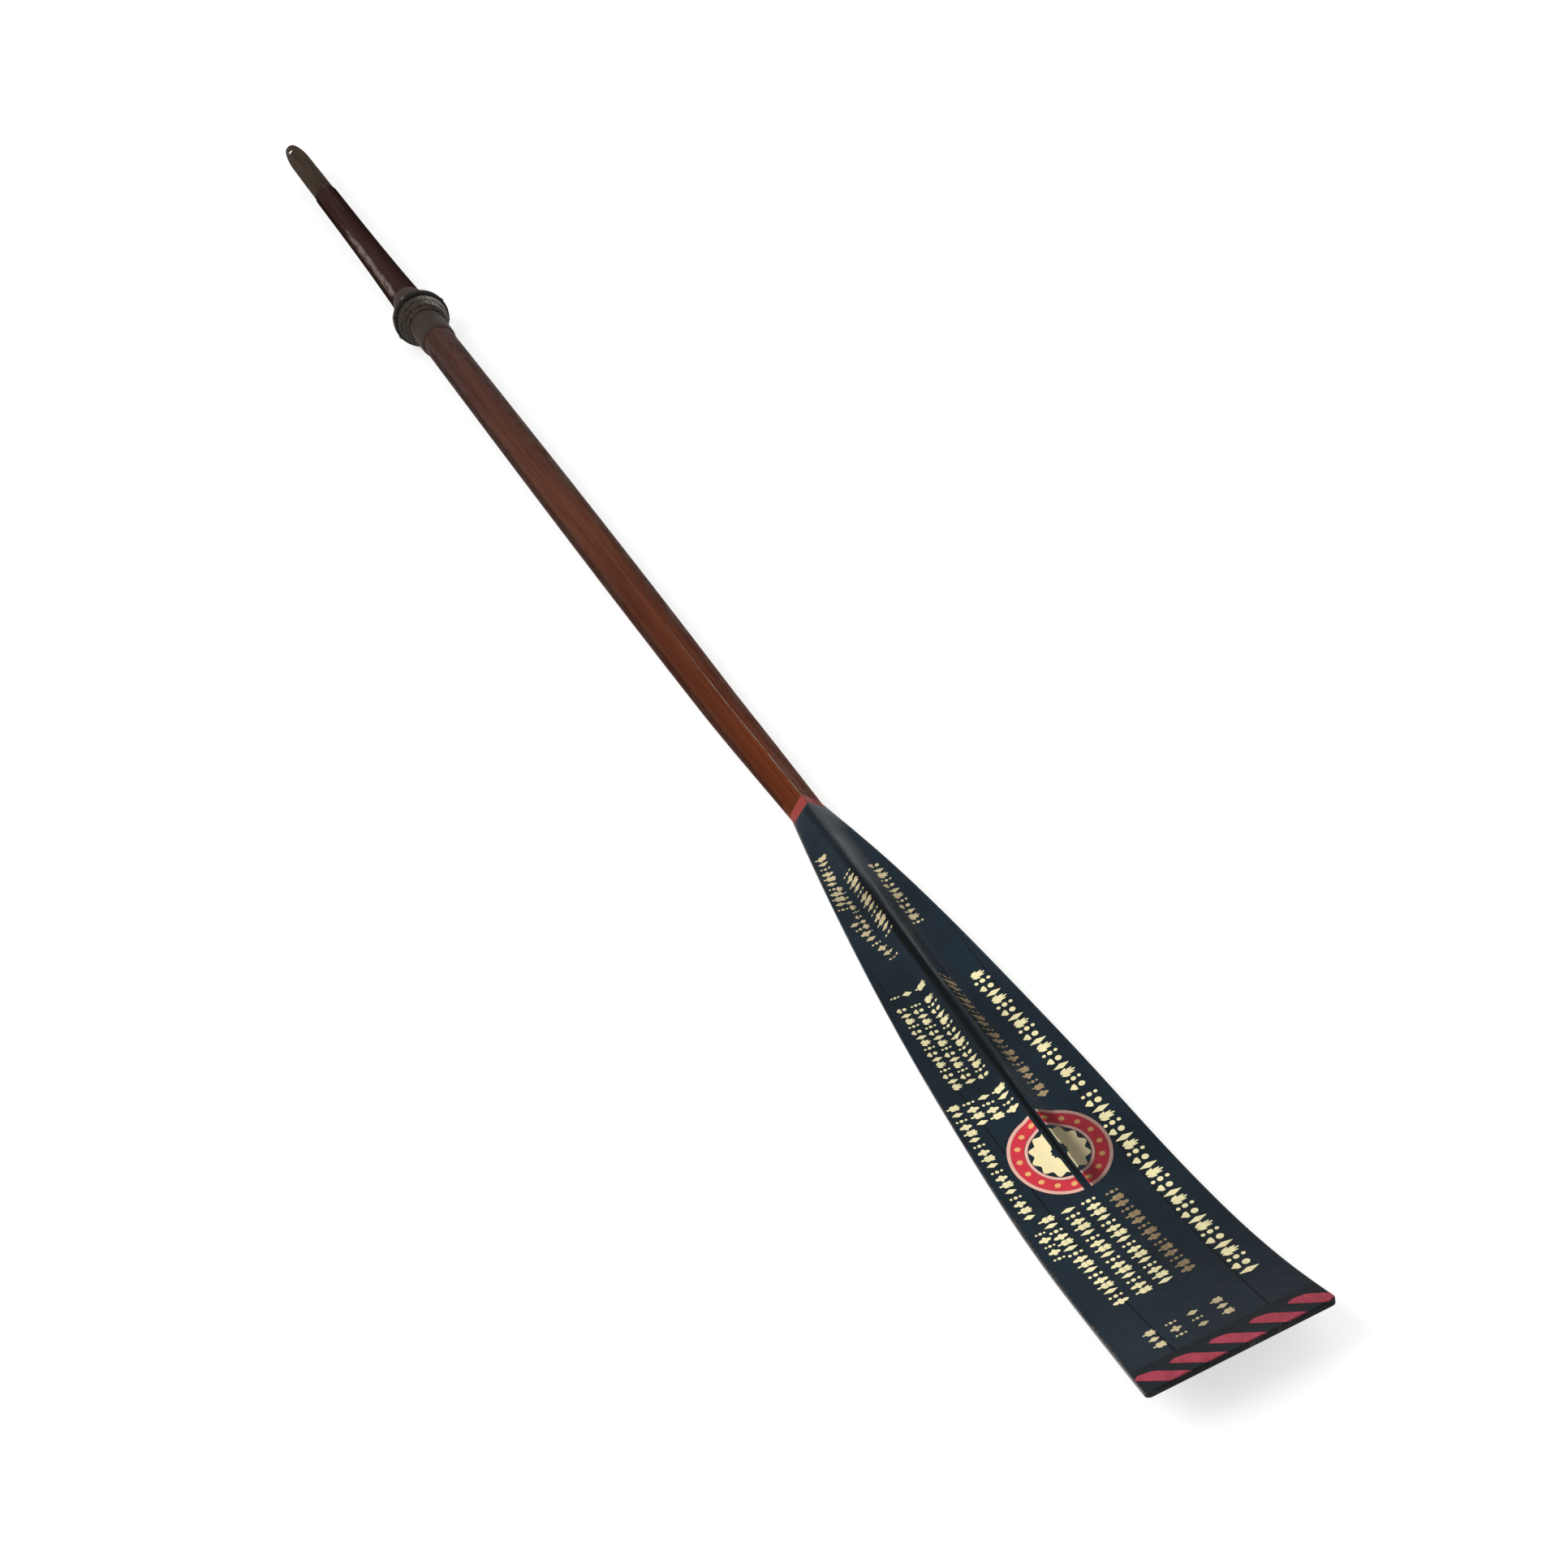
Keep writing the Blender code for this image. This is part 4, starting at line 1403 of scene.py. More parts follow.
@dataclass
class FlatPattern:
    """Flat shapes on the blade's hollow face, which become thin raised paint."""

    shape: OarShape
    name: str
    over: float = 0.00014
    under: float = 0.00012
    narrowest: float = 0.0002
    disc_cell: float = 0.0035
    disc_first: float = 0.02
    corners: list[Flat] = field(default_factory=list)
    cells: list[tuple[int, ...]] = field(default_factory=list)

    def ribbon(self, path: Sequence[Flat], halves: Sequence[float]) -> None:
        """Lay a ribbon of varying width.

        Args:
            path: The points of its middle line.
            halves: Half its width at each point.
        """
        rows = []
        for i, (s, y) in enumerate(path):
            before, after = path[max(0, i - 1)], path[min(len(path) - 1, i + 1)]
            run, rise = after[0] - before[0], after[1] - before[1]
            length = hypot(run, rise) or 1.0
            across = (-rise / length * halves[i], run / length * halves[i])
            first = len(self.corners)
            self.corners += [(s + across[0], y + across[1]), (s - across[0], y - across[1])]
            rows.append((first, first + 1))
        for one, two in zip(rows, rows[1:]):
            self.cells.append((one[0], one[1], two[1], two[0]))

    def bar(self, rows: Sequence[Triple]) -> None:
        """Lay a bar whose ends lie straight across the blade.

        Args:
            rows: The distance from the tip, the lowest and the highest y of each row.
        """
        kept = [row for row in rows if row[2] - row[1] > self.narrowest]
        first = len(self.corners)
        for s, low, high in kept:
            self.corners += [(s, low), (s, (low + high) / 2), (s, high)]
        for i in range(len(kept) - 1):
            for j in (0, 1):
                one = first + 3 * i + j
                self.cells.append((one, one + 1, one + 4, one + 3))

    def disc(self, centre: Flat, radii: Flat, inner: float = 0.0, segments: int = 20,
             petals: int = 0, depth: float = 0.0) -> None:
        """Lay an oval disc or ring.

        Args:
            centre: Its middle.
            radii: Its half axes along and across the oar.
            inner: The hole's size as a share of the disc's.
            segments: How many sides it has.
            petals: How many lobes its rim has.
            depth: How deep the lobes are, as a share.
        """
        levels = steps(inner, 1.0, max(1, int(max(radii) * (1.0 - inner) / self.disc_cell)))
        rings = []
        for level in levels:
            ring = []
            for k in range(segments):
                turn = 2 * pi * k / segments
                lobe = 1.0 - depth * (0.5 - 0.5 * cos(petals * turn)) if petals else 1.0
                reach = max(level, self.disc_first) * lobe
                ring.append(len(self.corners))
                self.corners.append((centre[0] + radii[0] * reach * cos(turn),
                                     centre[1] + radii[1] * reach * sin(turn)))
            rings.append(ring)
        for one, two in zip(rings, rings[1:]):
            for k in range(segments):
                self.cells.append((one[k], one[(k + 1) % segments], two[(k + 1) % segments], two[k]))
        if inner == 0.0:
            self.cells.append(tuple(rings[0]))

    def build(self, finish: Material, bare: Callable[[float], Flat] | None = None,
              darkening: Callable[[float], float] | None = None) -> Piece:
        """Raise the shapes off the blade as paint.

        Args:
            finish: The paint.
            bare: The stretch of y that stays bare at a distance from the tip, if there is one.
            darkening: How far painted shade darkens the paint at an offset y, if it does, or how worn the
                paint is, below 0.

        Returns:
            The piece.
        """
        data = bmesh.new()
        corners = [data.verts.new((s, y, 0.0)) for s, y in self.corners]
        for cell in self.cells:
            data.faces.new([corners[i] for i in cell])
        if bare is not None:
            self.keep_clear(data, bare)
        draft = MeshDraft()
        data.verts.index_update()
        for vert in data.verts:
            s, y, _ = vert.co
            level = self.shape.levels(s, y)[0]
            # Painted shade darkens the shapes through negative wear, and negative darkening wears them.
            wear = -darkening(y) if darkening else 0.0
            draft.vertex((vert.index, 1), self.shape.point(s, y, level + self.over), wear)
            draft.vertex((vert.index, 0), self.shape.point(s, y, level - self.under))
        for flat in data.faces:
            loop = [vert.index for vert in flat.verts]
            draft.face([(i, 1) for i in loop])
            draft.face([(i, 0) for i in reversed(loop)])
        for edge in data.edges:
            if len(edge.link_faces) == 1:
                a, b = (vert.index for vert in edge.verts)
                draft.face(((a, 1), (b, 1), (b, 0), (a, 0)))
        data.free()
        return draft.build(self.name, [finish], 30.0, slot="blade_paint")

    @staticmethod
    def keep_clear(data: bmesh.types.BMesh, bare: Callable[[float], Flat]) -> None:
        """Cut a stretch along the ridge out of the flat shapes.

        Args:
            data: The flat shapes.
            bare: The stretch of y that stays bare at a distance from the tip.
        """
        near_tip, near_neck = 0.2, 0.8
        for start, end in zip(bare(near_tip), bare(near_neck)):
            bmesh.ops.bisect_plane(data, geom=data.verts[:] + data.edges[:] + data.faces[:], dist=1e-6,
                                   plane_co=(near_tip, start, 0.0),
                                   plane_no=(start - end, near_neck - near_tip, 0.0))
        doomed = []
        for flat in data.faces:
            middle = flat.calc_center_median()
            low, high = bare(middle.x)
            if low < middle.y < high:
                doomed.append(flat)
        bmesh.ops.delete(data, geom=doomed, context="FACES")


@dataclass(frozen=True)
class OrnamentRow:
    """A row of small motifs."""

    first: Flat
    last: Flat
    height: float
    pitch: float
    motifs: tuple[Motif, ...]


@dataclass(frozen=True)
class MotifPainter:
    """Lays one motif at its place in a row, measured in shares of its room along the row and its height."""

    flat: FlatPattern
    at: Flat
    heading: float
    height: float
    pitch: float
    line_share: float = 0.105
    line_pitch: float = 1.5

    @property
    def line(self) -> float:
        """Half the width of a plain stroke."""
        return min(self.height, self.line_pitch * self.pitch) * self.line_share

    def spot(self, run: float, rise: float) -> Flat:
        """The spot on the face at shares of the room along the row and of the height."""
        along, up = cos(self.heading), sin(self.heading)
        return (self.at[0] + along * run * self.pitch - up * rise * self.height,
                self.at[1] + up * run * self.pitch + along * rise * self.height)

    def stroke(self, spots: Sequence[Flat], widths: Sequence[float]) -> None:
        """Lay a stroke through spots, with its width at each as a share of a plain stroke's."""
        self.flat.ribbon([self.spot(*spot) for spot in spots], [self.line * width for width in widths])

    def dot(self, rise: float, size: float, segments: int) -> None:
        """Lay a round dot in the motif's middle line, its radius a share of the height."""
        self.flat.disc(self.spot(0.0, rise), (self.height * size, self.height * size), segments=segments)

    def sprig(self) -> None:
        """Lay a stem with two pairs of leaves."""
        self.stroke([(0.0, -0.5 + k / 6) for k in range(7)], [0.7] * 7)
        for side in (-1.0, 1.0):
            for rise in (-0.18, 0.14):
                leaf = [(side * 0.36 * k / 4, rise + 0.28 * (k / 4) ** 1.5) for k in range(5)]
                self.stroke(leaf, (0.3, 1.2, 1.5, 1.0, 0.15))

    def lozenge(self) -> None:
        """Lay a filled lozenge."""
        widths = [self.pitch * 0.32 * (1.0 - abs(k - 4) / 4.2) for k in range(9)]
        self.flat.ribbon([self.spot(0.0, -0.44 + 0.11 * k) for k in range(9)], widths)

    def beads(self) -> None:
        """Lay a bead between two smaller ones."""
        for rise, size in ((0.34, 0.10), (0.0, 0.14), (-0.34, 0.10)):
            self.dot(rise, size, 12)

    def quatrefoil(self) -> None:
        """Lay four petals crosswise."""
        for turn in range(4):
            run, rise = sin(pi / 2 * turn), cos(pi / 2 * turn)
            petal = [(0.44 * run * k / 4, 0.46 * rise * k / 4) for k in range(5)]
            self.stroke(petal, (0.3, 1.0, 1.5, 1.3, 0.3))

    def bud(self) -> None:
        """Lay a round bud on a stem with two leaves."""
        self.dot(0.16, 0.17, 16)
        self.stroke(((0.0, -0.14), (0.0, -0.32), (0.0, -0.5)), (1.0, 0.7, 0.5))
        for side in (-1.0, 1.0):
            leaf = [(side * 0.34 * k / 3, -0.46 + 0.30 * (k / 3) ** 0.6) for k in range(4)]
            self.stroke(leaf, (0.4, 1.1, 1.1, 0.2))

    def fan(self) -> None:
        """Lay five spread ribs."""
        for turn in (-58.0, -29.0, 0.0, 29.0, 58.0):
            run, rise = sin(radians(turn)), cos(radians(turn))
            rib = [(run * r * 0.62, -0.44 + rise * r * 0.92) for r in (0.2, 0.55, 0.95)]
            self.stroke(rib, (0.4, 1.1, 0.3))

    def paint(self, motif: Motif) -> None:
        """Lay the motif that is asked for."""
        {Motif.SPRIG: self.sprig, Motif.LOZENGE: self.lozenge, Motif.BEADS: self.beads,
         Motif.QUATREFOIL: self.quatrefoil, Motif.BUD: self.bud, Motif.FAN: self.fan}[motif]()


@dataclass
class Decoration:
    """The blade's ornament: gilt rows, a medallion with a rosette, and stripes at the tip.

    Left and right are as seen from the tip.
    """

    shape: OarShape
    seed: int = 7
    place_chance: float = 0.0002
    size_chance: Flat = (0.94, 1.04)
    small: tuple[Motif, ...] = (Motif.SPRIG, Motif.LOZENGE, Motif.BEADS, Motif.QUATREFOIL)
    tall: tuple[Motif, ...] = (Motif.FAN, Motif.BEADS, Motif.BUD, Motif.LOZENGE)
    faint: tuple[Motif, ...] = (Motif.BEADS, Motif.SPRIG, Motif.QUATREFOIL)
    bare_low: float = -0.0006
    bare_high: float = 0.0036
    bare_widening: float = 0.0085
    # The medallion's painted shade, strongest on the ridge's right flank.
    shade_most: float = 0.62
    shade_loss: float = 0.12
    shade_starts: Fade = Fade(0.0, 0.002)
    shade_eases: Fade = Fade(0.010, 0.008)
    medallion: Flat = (0.2925, 0.003)
    medallion_radii: Flat = (0.0495, 0.0425)
    spot_count: int = 16
    spot_circle: float = 0.795
    spot_radius: float = 0.0026
    rosette: float = 0.585
    rosette_hole: float = 0.30
    petals: int = 12
    petal_depth: float = 0.16
    stripe_tops: tuple[float, ...] = (0.0725, 0.0430, 0.0110, -0.0220, -0.0540)
    stripe_lean: float = 0.0240
    stripe_start: float = 0.0003
    stripe_run: float = 0.0222
    stripe_half: float = 0.0084
    stripe_steps: int = 12
    stripe_end: float = 0.85
    stripe_inset: float = 0.0006
    stripe_wear: float = 0.72

    def bare_flank(self, s: float) -> Flat:
        """The lowest and the highest y of the stretch of the ridge's left flank that has no paint, so that
        the flank's painted shade runs through the ornament.
        """
        return self.bare_low, self.bare_high + self.bare_widening * (s / self.shape.blade_length)

    def darkening(self, y: float) -> float:
        """How far painted shade darkens the medallion at the offset y: not on the left, most on the ridge's
        right flank.
        """
        return self.shade_starts.at(-y) * (self.shade_most - self.shade_loss * self.shade_eases.at(-y))

    def row(self, flat: FlatPattern, row: OrnamentRow, chance: random.Random) -> None:
        """Lay a row of motifs.

        Args:
            flat: The pattern that takes it.
            row: The row.
            chance: The source of its small irregularities.
        """
        run, rise = row.last[0] - row.first[0], row.last[1] - row.first[1]
        length = hypot(run, rise)
        count = max(1, round(length / row.pitch))
        heading = atan2(rise, run)
        for i in range(count):
            share = (i + 0.5) / count
            at = (row.first[0] + run * share + chance.uniform(-self.place_chance, self.place_chance),
                  row.first[1] + rise * share + chance.uniform(-self.place_chance, self.place_chance))
            size = row.height * chance.uniform(*self.size_chance)
            MotifPainter(flat, at, heading, size, length / count).paint(row.motifs[i % len(row.motifs)])

    def bright_rows(self) -> list[OrnamentRow]:
        """The rows in bright gilt."""
        small, tall = self.small, self.tall
        rows = [OrnamentRow((0.234, y), (0.106, y - 0.005), 0.0142, 0.0080, small[k:] + small[:k])
                for k, y in enumerate((0.0475, 0.0280, 0.0095))]
        rows += [OrnamentRow((0.527, y), (0.405, y), 0.0116, 0.0080, tall[k:] + tall[:k])
                 for k, y in enumerate((0.0150, 0.0285, 0.0415))]
        rows += [OrnamentRow((0.546, y), (0.536, y), 0.0105, 0.0095, small[k:] + small[:k])
                 for k, y in enumerate((0.0150, 0.0285, 0.0405))]
        rows += [OrnamentRow((0.390, y), (0.354, y), 0.0125, 0.0085, small[k:] + small[:k])
                 for k, y in enumerate((0.013, 0.0275, 0.042))]
        rows += [OrnamentRow((0.530, -0.0350), (0.345, -0.0465), 0.0180, 0.0098, tall),
                 OrnamentRow((0.340, -0.0480), (0.072, -0.0492), 0.0185, 0.0098, tall[1:] + tall[:1]),
                 OrnamentRow((0.390, 0.0562), (0.236, 0.0572), 0.0120, 0.0085, small),
                 OrnamentRow((0.222, 0.0585), (0.180, 0.0585), 0.0110, 0.0085, small[2:])]
        return rows

    def dull_rows(self) -> list[OrnamentRow]:
        """The rows in duller gilt, towards the neck and at the tip."""
        small, tall = self.small, self.tall
        rows = [OrnamentRow((0.768, 0.0190), (0.676, 0.0325), 0.0125, 0.0085, small),
                OrnamentRow((0.658, 0.0320), (0.588, 0.0175), 0.0120, 0.0085, small[1:]),
                OrnamentRow((0.715, 0.0225), (0.634, 0.0225), 0.0080, 0.0080, tall),
                OrnamentRow((0.722, 0.0095), (0.615, 0.0095), 0.0100, 0.0085, small[2:] + small[:2]),
                OrnamentRow((0.726, -0.0205), (0.618, -0.0210), 0.0130, 0.0092, tall[2:] + tall[:2])]
        pairs = ((0.044, small[:2]), (0.026, small[2:]), (0.008, small[1:3]), (-0.0125, small[:2]))
        return rows + [OrnamentRow((0.066, y), (0.040, y), 0.0105, 0.0085, pair) for y, pair in pairs]

    def make_stripes(self) -> Piece:
        """Make the slanting red stripes at the tip."""
        flat = FlatPattern(self.shape, "tip_stripes")
        for top in self.stripe_tops:
            rows = []
            for share in steps(0.0, 1.0, self.stripe_steps):
                s = self.stripe_start + self.stripe_run * share
                past = max(0.0, share - self.stripe_end) / (1.0 - self.stripe_end)
                half = self.stripe_half * sqrt(max(0.02, 1.0 - past**2))
                middle = top - self.stripe_lean * (1.0 - share)
                reach = self.shape.outline(s) - self.stripe_inset
                low, high = (min(reach, max(-reach, y)) for y in (middle - half, middle + half))
                rows.append((s, low, high))
            flat.bar(rows)
        return flat.build(RED_STRIPE.make(), darkening=lambda y: -self.stripe_wear)

    def make_medallion(self) -> None:
        """Make the oval medallion: rings, gold spots and a petalled rosette, darkened as painted shade
        right of the ridge.
        """
        centre, (long, wide) = self.medallion, self.medallion_radii
        parts = [("medallion_rim", PINK_LINE, [(1.0, 0.93), (0.66, 0.60)], 0.00016),
                 ("medallion_field", MEDALLION_RED, [(0.925, 0.67)], 0.00013)]
        for name, finish, rings, over in parts:
            flat = FlatPattern(self.shape, name, over)
            for outer, inner in rings:
                flat.disc(centre, (long * outer, wide * outer), inner / outer, 96)
            flat.build(finish.make(), self.bare_flank, self.darkening)
        flat = FlatPattern(self.shape, "medallion_spots", 0.00022)
        for k in range(self.spot_count):
            turn = 2 * pi * (k + 0.5) / self.spot_count
            spot = (centre[0] + long * self.spot_circle * cos(turn),
                    centre[1] + wide * self.spot_circle * sin(turn))
            flat.disc(spot, (self.spot_radius, self.spot_radius), segments=12)
        flat.build(ORANGE_GOLD.make(), self.bare_flank, self.darkening)
        flat = FlatPattern(self.shape, "medallion_rosette", 0.00018)
        flat.disc(centre, (long * self.rosette, wide * self.rosette), self.rosette_hole, 96,
                  self.petals, self.petal_depth)
        flat.build(CREAM_PAINT.make(), self.bare_flank, self.darkening)

    def build(self) -> None:
        """Paint the ornament."""
        chance = random.Random(self.seed)
        flat = FlatPattern(self.shape, "gilt_rows")
        for row in self.bright_rows():
            self.row(flat, row, chance)
        flat.build(GILT.make())
        flat = FlatPattern(self.shape, "dull_gilt_rows")
        for row in self.dull_rows():
            self.row(flat, row, chance)
        flat.build(DULL_GILT.make())
        # The faint rows right of the ridge line are in a dimmer gilt, as painted shade.
        faint = FlatPattern(self.shape, "shaded_gilt_row")
        for first, last, height in (((0.537, -0.0075), (0.356, -0.0170), 0.0115),
                                    ((0.232, -0.0105), (0.106, -0.0150), 0.0130)):
            self.row(faint, OrnamentRow(first, last, height, 0.0085, self.faint), chance)
        faint.build(SHADED_GILT.make())
        self.make_stripes()
        self.make_medallion()


@dataclass
class Grip:
    """The turned grip of bare wood with its spigot, and the pale tack near its end."""

    shape: OarShape
    radius: float = 0.0405 / 2
    end_radius: float = 0.0270 / 2
    taper: float = 0.100
    taper_power: float = 2.2
    start_round: float = 0.0015
    start_run: float = 0.003
    end_round: float = 0.0009
    end_run: float = 0.0015
    unevenness: float = 0.00025
    even_start: float = 0.004
    spigot_length: float = 0.110
    spigot_nose: float = 0.006
    spigot_chamfer: float = 0.003
    tack_from_end: float = 0.062
    tack_angle: float = 28.0
    tack_diameter: float = 0.0095
    tack_height: float = 0.0016
    segments: int = 64

    def radius_at(self, s: float) -> float:
        """The grip's radius.

        Args:
            s: Metres from the tip.

        Returns:
            The radius there.
        """
        into = near(self.shape.oar_end - s, self.taper)
        start = near(s - self.shape.loom_end - self.shape.gap, self.start_run)
        rim = near(self.shape.oar_end - s, self.end_run)
        body = self.radius - (self.radius - self.end_radius) * into**self.taper_power
        return body - self.start_round * start**2 - self.end_round * rim**2

    def build(self) -> None:
        """Make the grip and its tack."""
        shape, draft, rings = self.shape, MeshDraft(), []
        spigot = shape.hollow - shape.gap
        first = shape.loom_end + shape.gap / 2
        foot = shape.loom_end - self.spigot_length
        profile = [(foot, spigot - self.spigot_chamfer), (foot + self.spigot_nose, spigot),
                   (first - 0.00005, spigot)]
        body = steps(first, first + self.start_run, 4)
        body += steps(first + 0.010, shape.oar_end - self.taper, 14)
        body += steps(shape.oar_end - self.taper, shape.oar_end - 0.002, 16)[1:]
        turns = steps(0.0, pi / 2, 5)
        body += [shape.oar_end - self.end_run * (1.0 - sin(turn)) for turn in turns]
        profile += [(s, self.radius_at(s)) for s in body]
        end = self.radius_at(shape.oar_end)
        profile += [(shape.oar_end, end * share) for share in (0.72, 0.40, 0.10)]
        for i, (s, radius) in enumerate(profile):
            rim = exp(-max(0.0, shape.oar_end - s) / 0.005) * (1.0 if radius > end * 0.8 else 0.45)
            worn = max(rim, 0.25 * near(abs(s - first), 0.05))
            ring = []
            for k in range(self.segments):
                turn = 2 * pi * k / self.segments
                y, z = radius * cos(turn), radius * sin(turn)
                uneven = self.unevenness * noise.noise(Vector((s * 9.0, y * 60.0, z * 60.0)))
                scale = 1.0 + (uneven / max(radius, 0.004) if s > first + self.even_start else 0.0)
                ring.append(draft.vertex((i, k), shape.point(s, y * scale, z * scale), worn))
            rings.append(ring)
        draft.loft(rings)
        draft.build("grip_wood", [GRIP_WOOD.make()], 40.0, "grip", "bare_grip_wood")
        angle = radians(self.tack_angle)
        s = shape.oar_end - self.tack_from_end
        radius = self.radius_at(s)
        slope = (self.radius_at(s - 0.005) - self.radius_at(s + 0.005)) / 0.01
        outward = shape.direction(sin(angle), cos(angle), slope)
        seat = shape.point(s, radius * sin(angle), radius * cos(angle))
        head = TackHead(self.tack_diameter, self.tack_height)
        head.build("grip_tack", PALE_METAL.make(), seat, outward, "pale_tack")


@dataclass(frozen=True)
class TackHead:
    """A domed nail or tack head."""

    diameter: float
    height: float
    lift: float = 0.00012
    knocks: float = 0.035
    segments: int = 28
    dome: tuple[Flat, ...] = ((0.0, 0.88), (0.06, 0.965), (0.16, 1.0), (0.30, 0.985), (0.48, 0.92),
                              (0.66, 0.80), (0.81, 0.64), (0.92, 0.44), (0.98, 0.22), (1.0, 0.05))

    def build(self, node: str, finish: Material, seat: Vector, outward: Vector,
              slot: str) -> Piece:
        """Make the head.

        Args:
            node: The CAD node that it stands for.
            finish: Its metal.
            seat: Where it sits.
            outward: Its axis.
            slot: The name of its slot, passed on but not used.

        Returns:
            The piece.
        """
        draft, rings = MeshDraft(), []
        turned = outward.to_track_quat("Z", "Y").to_matrix()
        for i, (rise, share) in enumerate(self.dome):
            ring = []
            for k in range(self.segments):
                turn = 2 * pi * k / self.segments
                x, y = cos(turn), sin(turn)
                knock = 1.0 + self.knocks * noise.noise(seat * 40.0 + Vector((x, y, rise)) * 1.3)
                reach = self.diameter / 2 * share * knock
                local = Vector((reach * x, reach * y, self.height * rise + self.lift))
                ring.append(draft.vertex((i, k), seat + turned @ local))
            rings.append(ring)
        draft.loft(rings)
        return draft.build(f"{node}_head", [finish], 50.0, node, slot)


@dataclass
class Leathers:
    """The sleeve round the loom, the button's wound layers over it, and their nails and tacks."""

    shape: OarShape
    sleeve_edge: float = 0.0009
    sleeve_skive: float = 0.014
    sleeve_rub: float = 0.003
    sleeve_uneven: float = 0.00022
    seam_gap: float = 0.0006
    seam_depth: float = 0.0005
    seam_reach: float = 0.0012
    seam_wear: float = 0.8
    seam_rub: float = 0.0015
    edge_waver: float = 0.0012
    wave_scales: Flat = (40.0, 2.2)
    fine_scales: Flat = (190.0, 8.0)
    fine_share: float = 0.35
    even_below: float = 0.002
    layer_thickness: float = 0.0040
    layer_count: int = 4
    base_width: float = 0.092
    outer_width: float = 0.024
    layer_edge: float = 0.0014
    layer_skive: float = 0.0055
    layer_uneven: float = 0.00016
    layer_rub: float = 0.0022
    layer_wear: float = 0.35
    layer_highlight: tuple[float, ...] = (0.20, 0.85, 1.0, 0.0)
    slit_first: float = 56.25
    slit_pitch: float = 101.25
    nail_count: int = 8
    nail_diameter: float = 0.0070
    nail_height: float = 0.0013
    tack_pairs: int = 3
    tack_pitch: float = 0.028
    tack_diameter: float = 0.0058
    tack_height: float = 0.0011
    tack_inset: float = 0.0055
    tack_margin: float = 0.004
    highlight_angle: float = 150.0
    segments: int = 144

    def bent_strip(self, profile: Sequence[tuple[float, float, float, float]], slit: float, uneven: float,
                   node: str, finish: Material, slot: str, highlight: float = 0.0) -> Piece:
        """Bend a strip of leather round the loom until its ends meet.

        Args:
            profile: The distance, inner radius, outer radius and wear of each section.
            slit: Where its ends meet, in degrees.
            uneven: How uneven its outside is, in metres.
            node: The CAD node that it stands for.
            finish: The leather.
            slot: The name of its slot, passed on but not used.
            highlight: How far its upper right side is lightened as a painted highlight.

        Returns:
            The piece.
        """
        shape, draft, rings = self.shape, MeshDraft(), []
        (wave_along, wave_round), (fine_along, fine_round) = self.wave_scales, self.fine_scales
        for i, (s, inner, outer, wear) in enumerate(profile):
            outside, inside = [], []
            half_slit = self.seam_gap / 2 / outer
            far_edge = 1.0 if i * 2 > len(profile) else 0.0
            for k in range(self.segments + 1):
                turn = 2 * pi * k / self.segments
                turn += half_slit if k == 0 else -half_slit if k == self.segments else 0.0
                to_slit = min(k, self.segments - k) * 2 * pi / self.segments * outer
                angle = radians(slit) + turn
                y, z = cos(angle), sin(angle)
                wave = noise.noise(Vector((s * wave_along, y * wave_round, z * wave_round + slit)))
                fine = noise.noise(Vector((s * fine_along, y * fine_round, z * fine_round + slit)))
                shift = self.edge_waver * noise.noise(Vector((y * 1.5, z * 1.5, slit + far_edge)))
                share = min(1.0, (outer - inner) / self.even_below)
                reach = outer + uneven * (wave + self.fine_share * fine) * share
                reach -= self.seam_depth * exp(-to_slit / self.seam_reach)
                along = s + (shift if wear > 0.05 else 0.0)
                # The upper right side is lightened as a painted highlight.
                rubbed = highlight * max(0.0, cos(angle - radians(self.highlight_angle))) ** 2
                worn = max(wear, rubbed, self.seam_wear * exp(-to_slit / self.seam_rub))
                outside.append(draft.vertex((i, k, "out"), shape.point(along, reach * y, reach * z), worn))
                inside.append(draft.vertex((i, k, "in"), shape.point(along, inner * y, inner * z)))
            rings.append(outside + list(reversed(inside)))
        draft.loft(rings, caps=False)
        for ring in (rings[0], rings[-1]):
            for k in range(self.segments):
                draft.face((ring[k], ring[k + 1], ring[-2 - k], ring[-1 - k]))
        return draft.build(f"{node}_hide", [finish], 38.0, node, slot)

    def make_sleeve(self, leather: Material, copper: Material) -> None:
        """Make the sleeve and the tacks beside its seam.

        Args:
            leather: Its leather.
            copper: The tacks' metal.
        """
        shape = self.shape
        inner = shape.seat + shape.gap / 3
        outer = shape.sleeve_outer
        profile = []
        for s in steps(0.0, self.sleeve_skive, 8):
            rise = sin(pi / 2 * s / self.sleeve_skive) ** 0.8
            reach = inner + self.sleeve_edge + (outer - inner - self.sleeve_edge) * rise
            profile.append((s, reach, exp(-s / self.sleeve_rub)))
        first, last = shape.sleeve_start + self.sleeve_skive, shape.sleeve_end - self.sleeve_skive
        sections = [(shape.sleeve_start + s, inner, reach, wear) for s, reach, wear in profile]
        sections += [(s, inner, outer, 0.0) for s in steps(first, last, 40)[1:-1]]
        sections += [(shape.sleeve_end - s, inner, reach, wear) for s, reach, wear in reversed(profile)]
        self.bent_strip(sections, -90.0, self.sleeve_uneven, "leather_sleeve", leather, "sleeve_leather")
        head = TackHead(self.tack_diameter, self.tack_height)
        for i in range(self.tack_pairs):
            for j, side in enumerate((-1.0, 1.0)):
                angle = side * (self.tack_inset / outer)
                y, z = sin(angle), -cos(angle)
                seat = shape.point(first + self.tack_margin + i * self.tack_pitch, outer * y, outer * z)
                name = f"sleeve_tack_{2 * i + j + 1}"
                head.build(name, copper, seat, shape.direction(y, z), "copper_tacks")

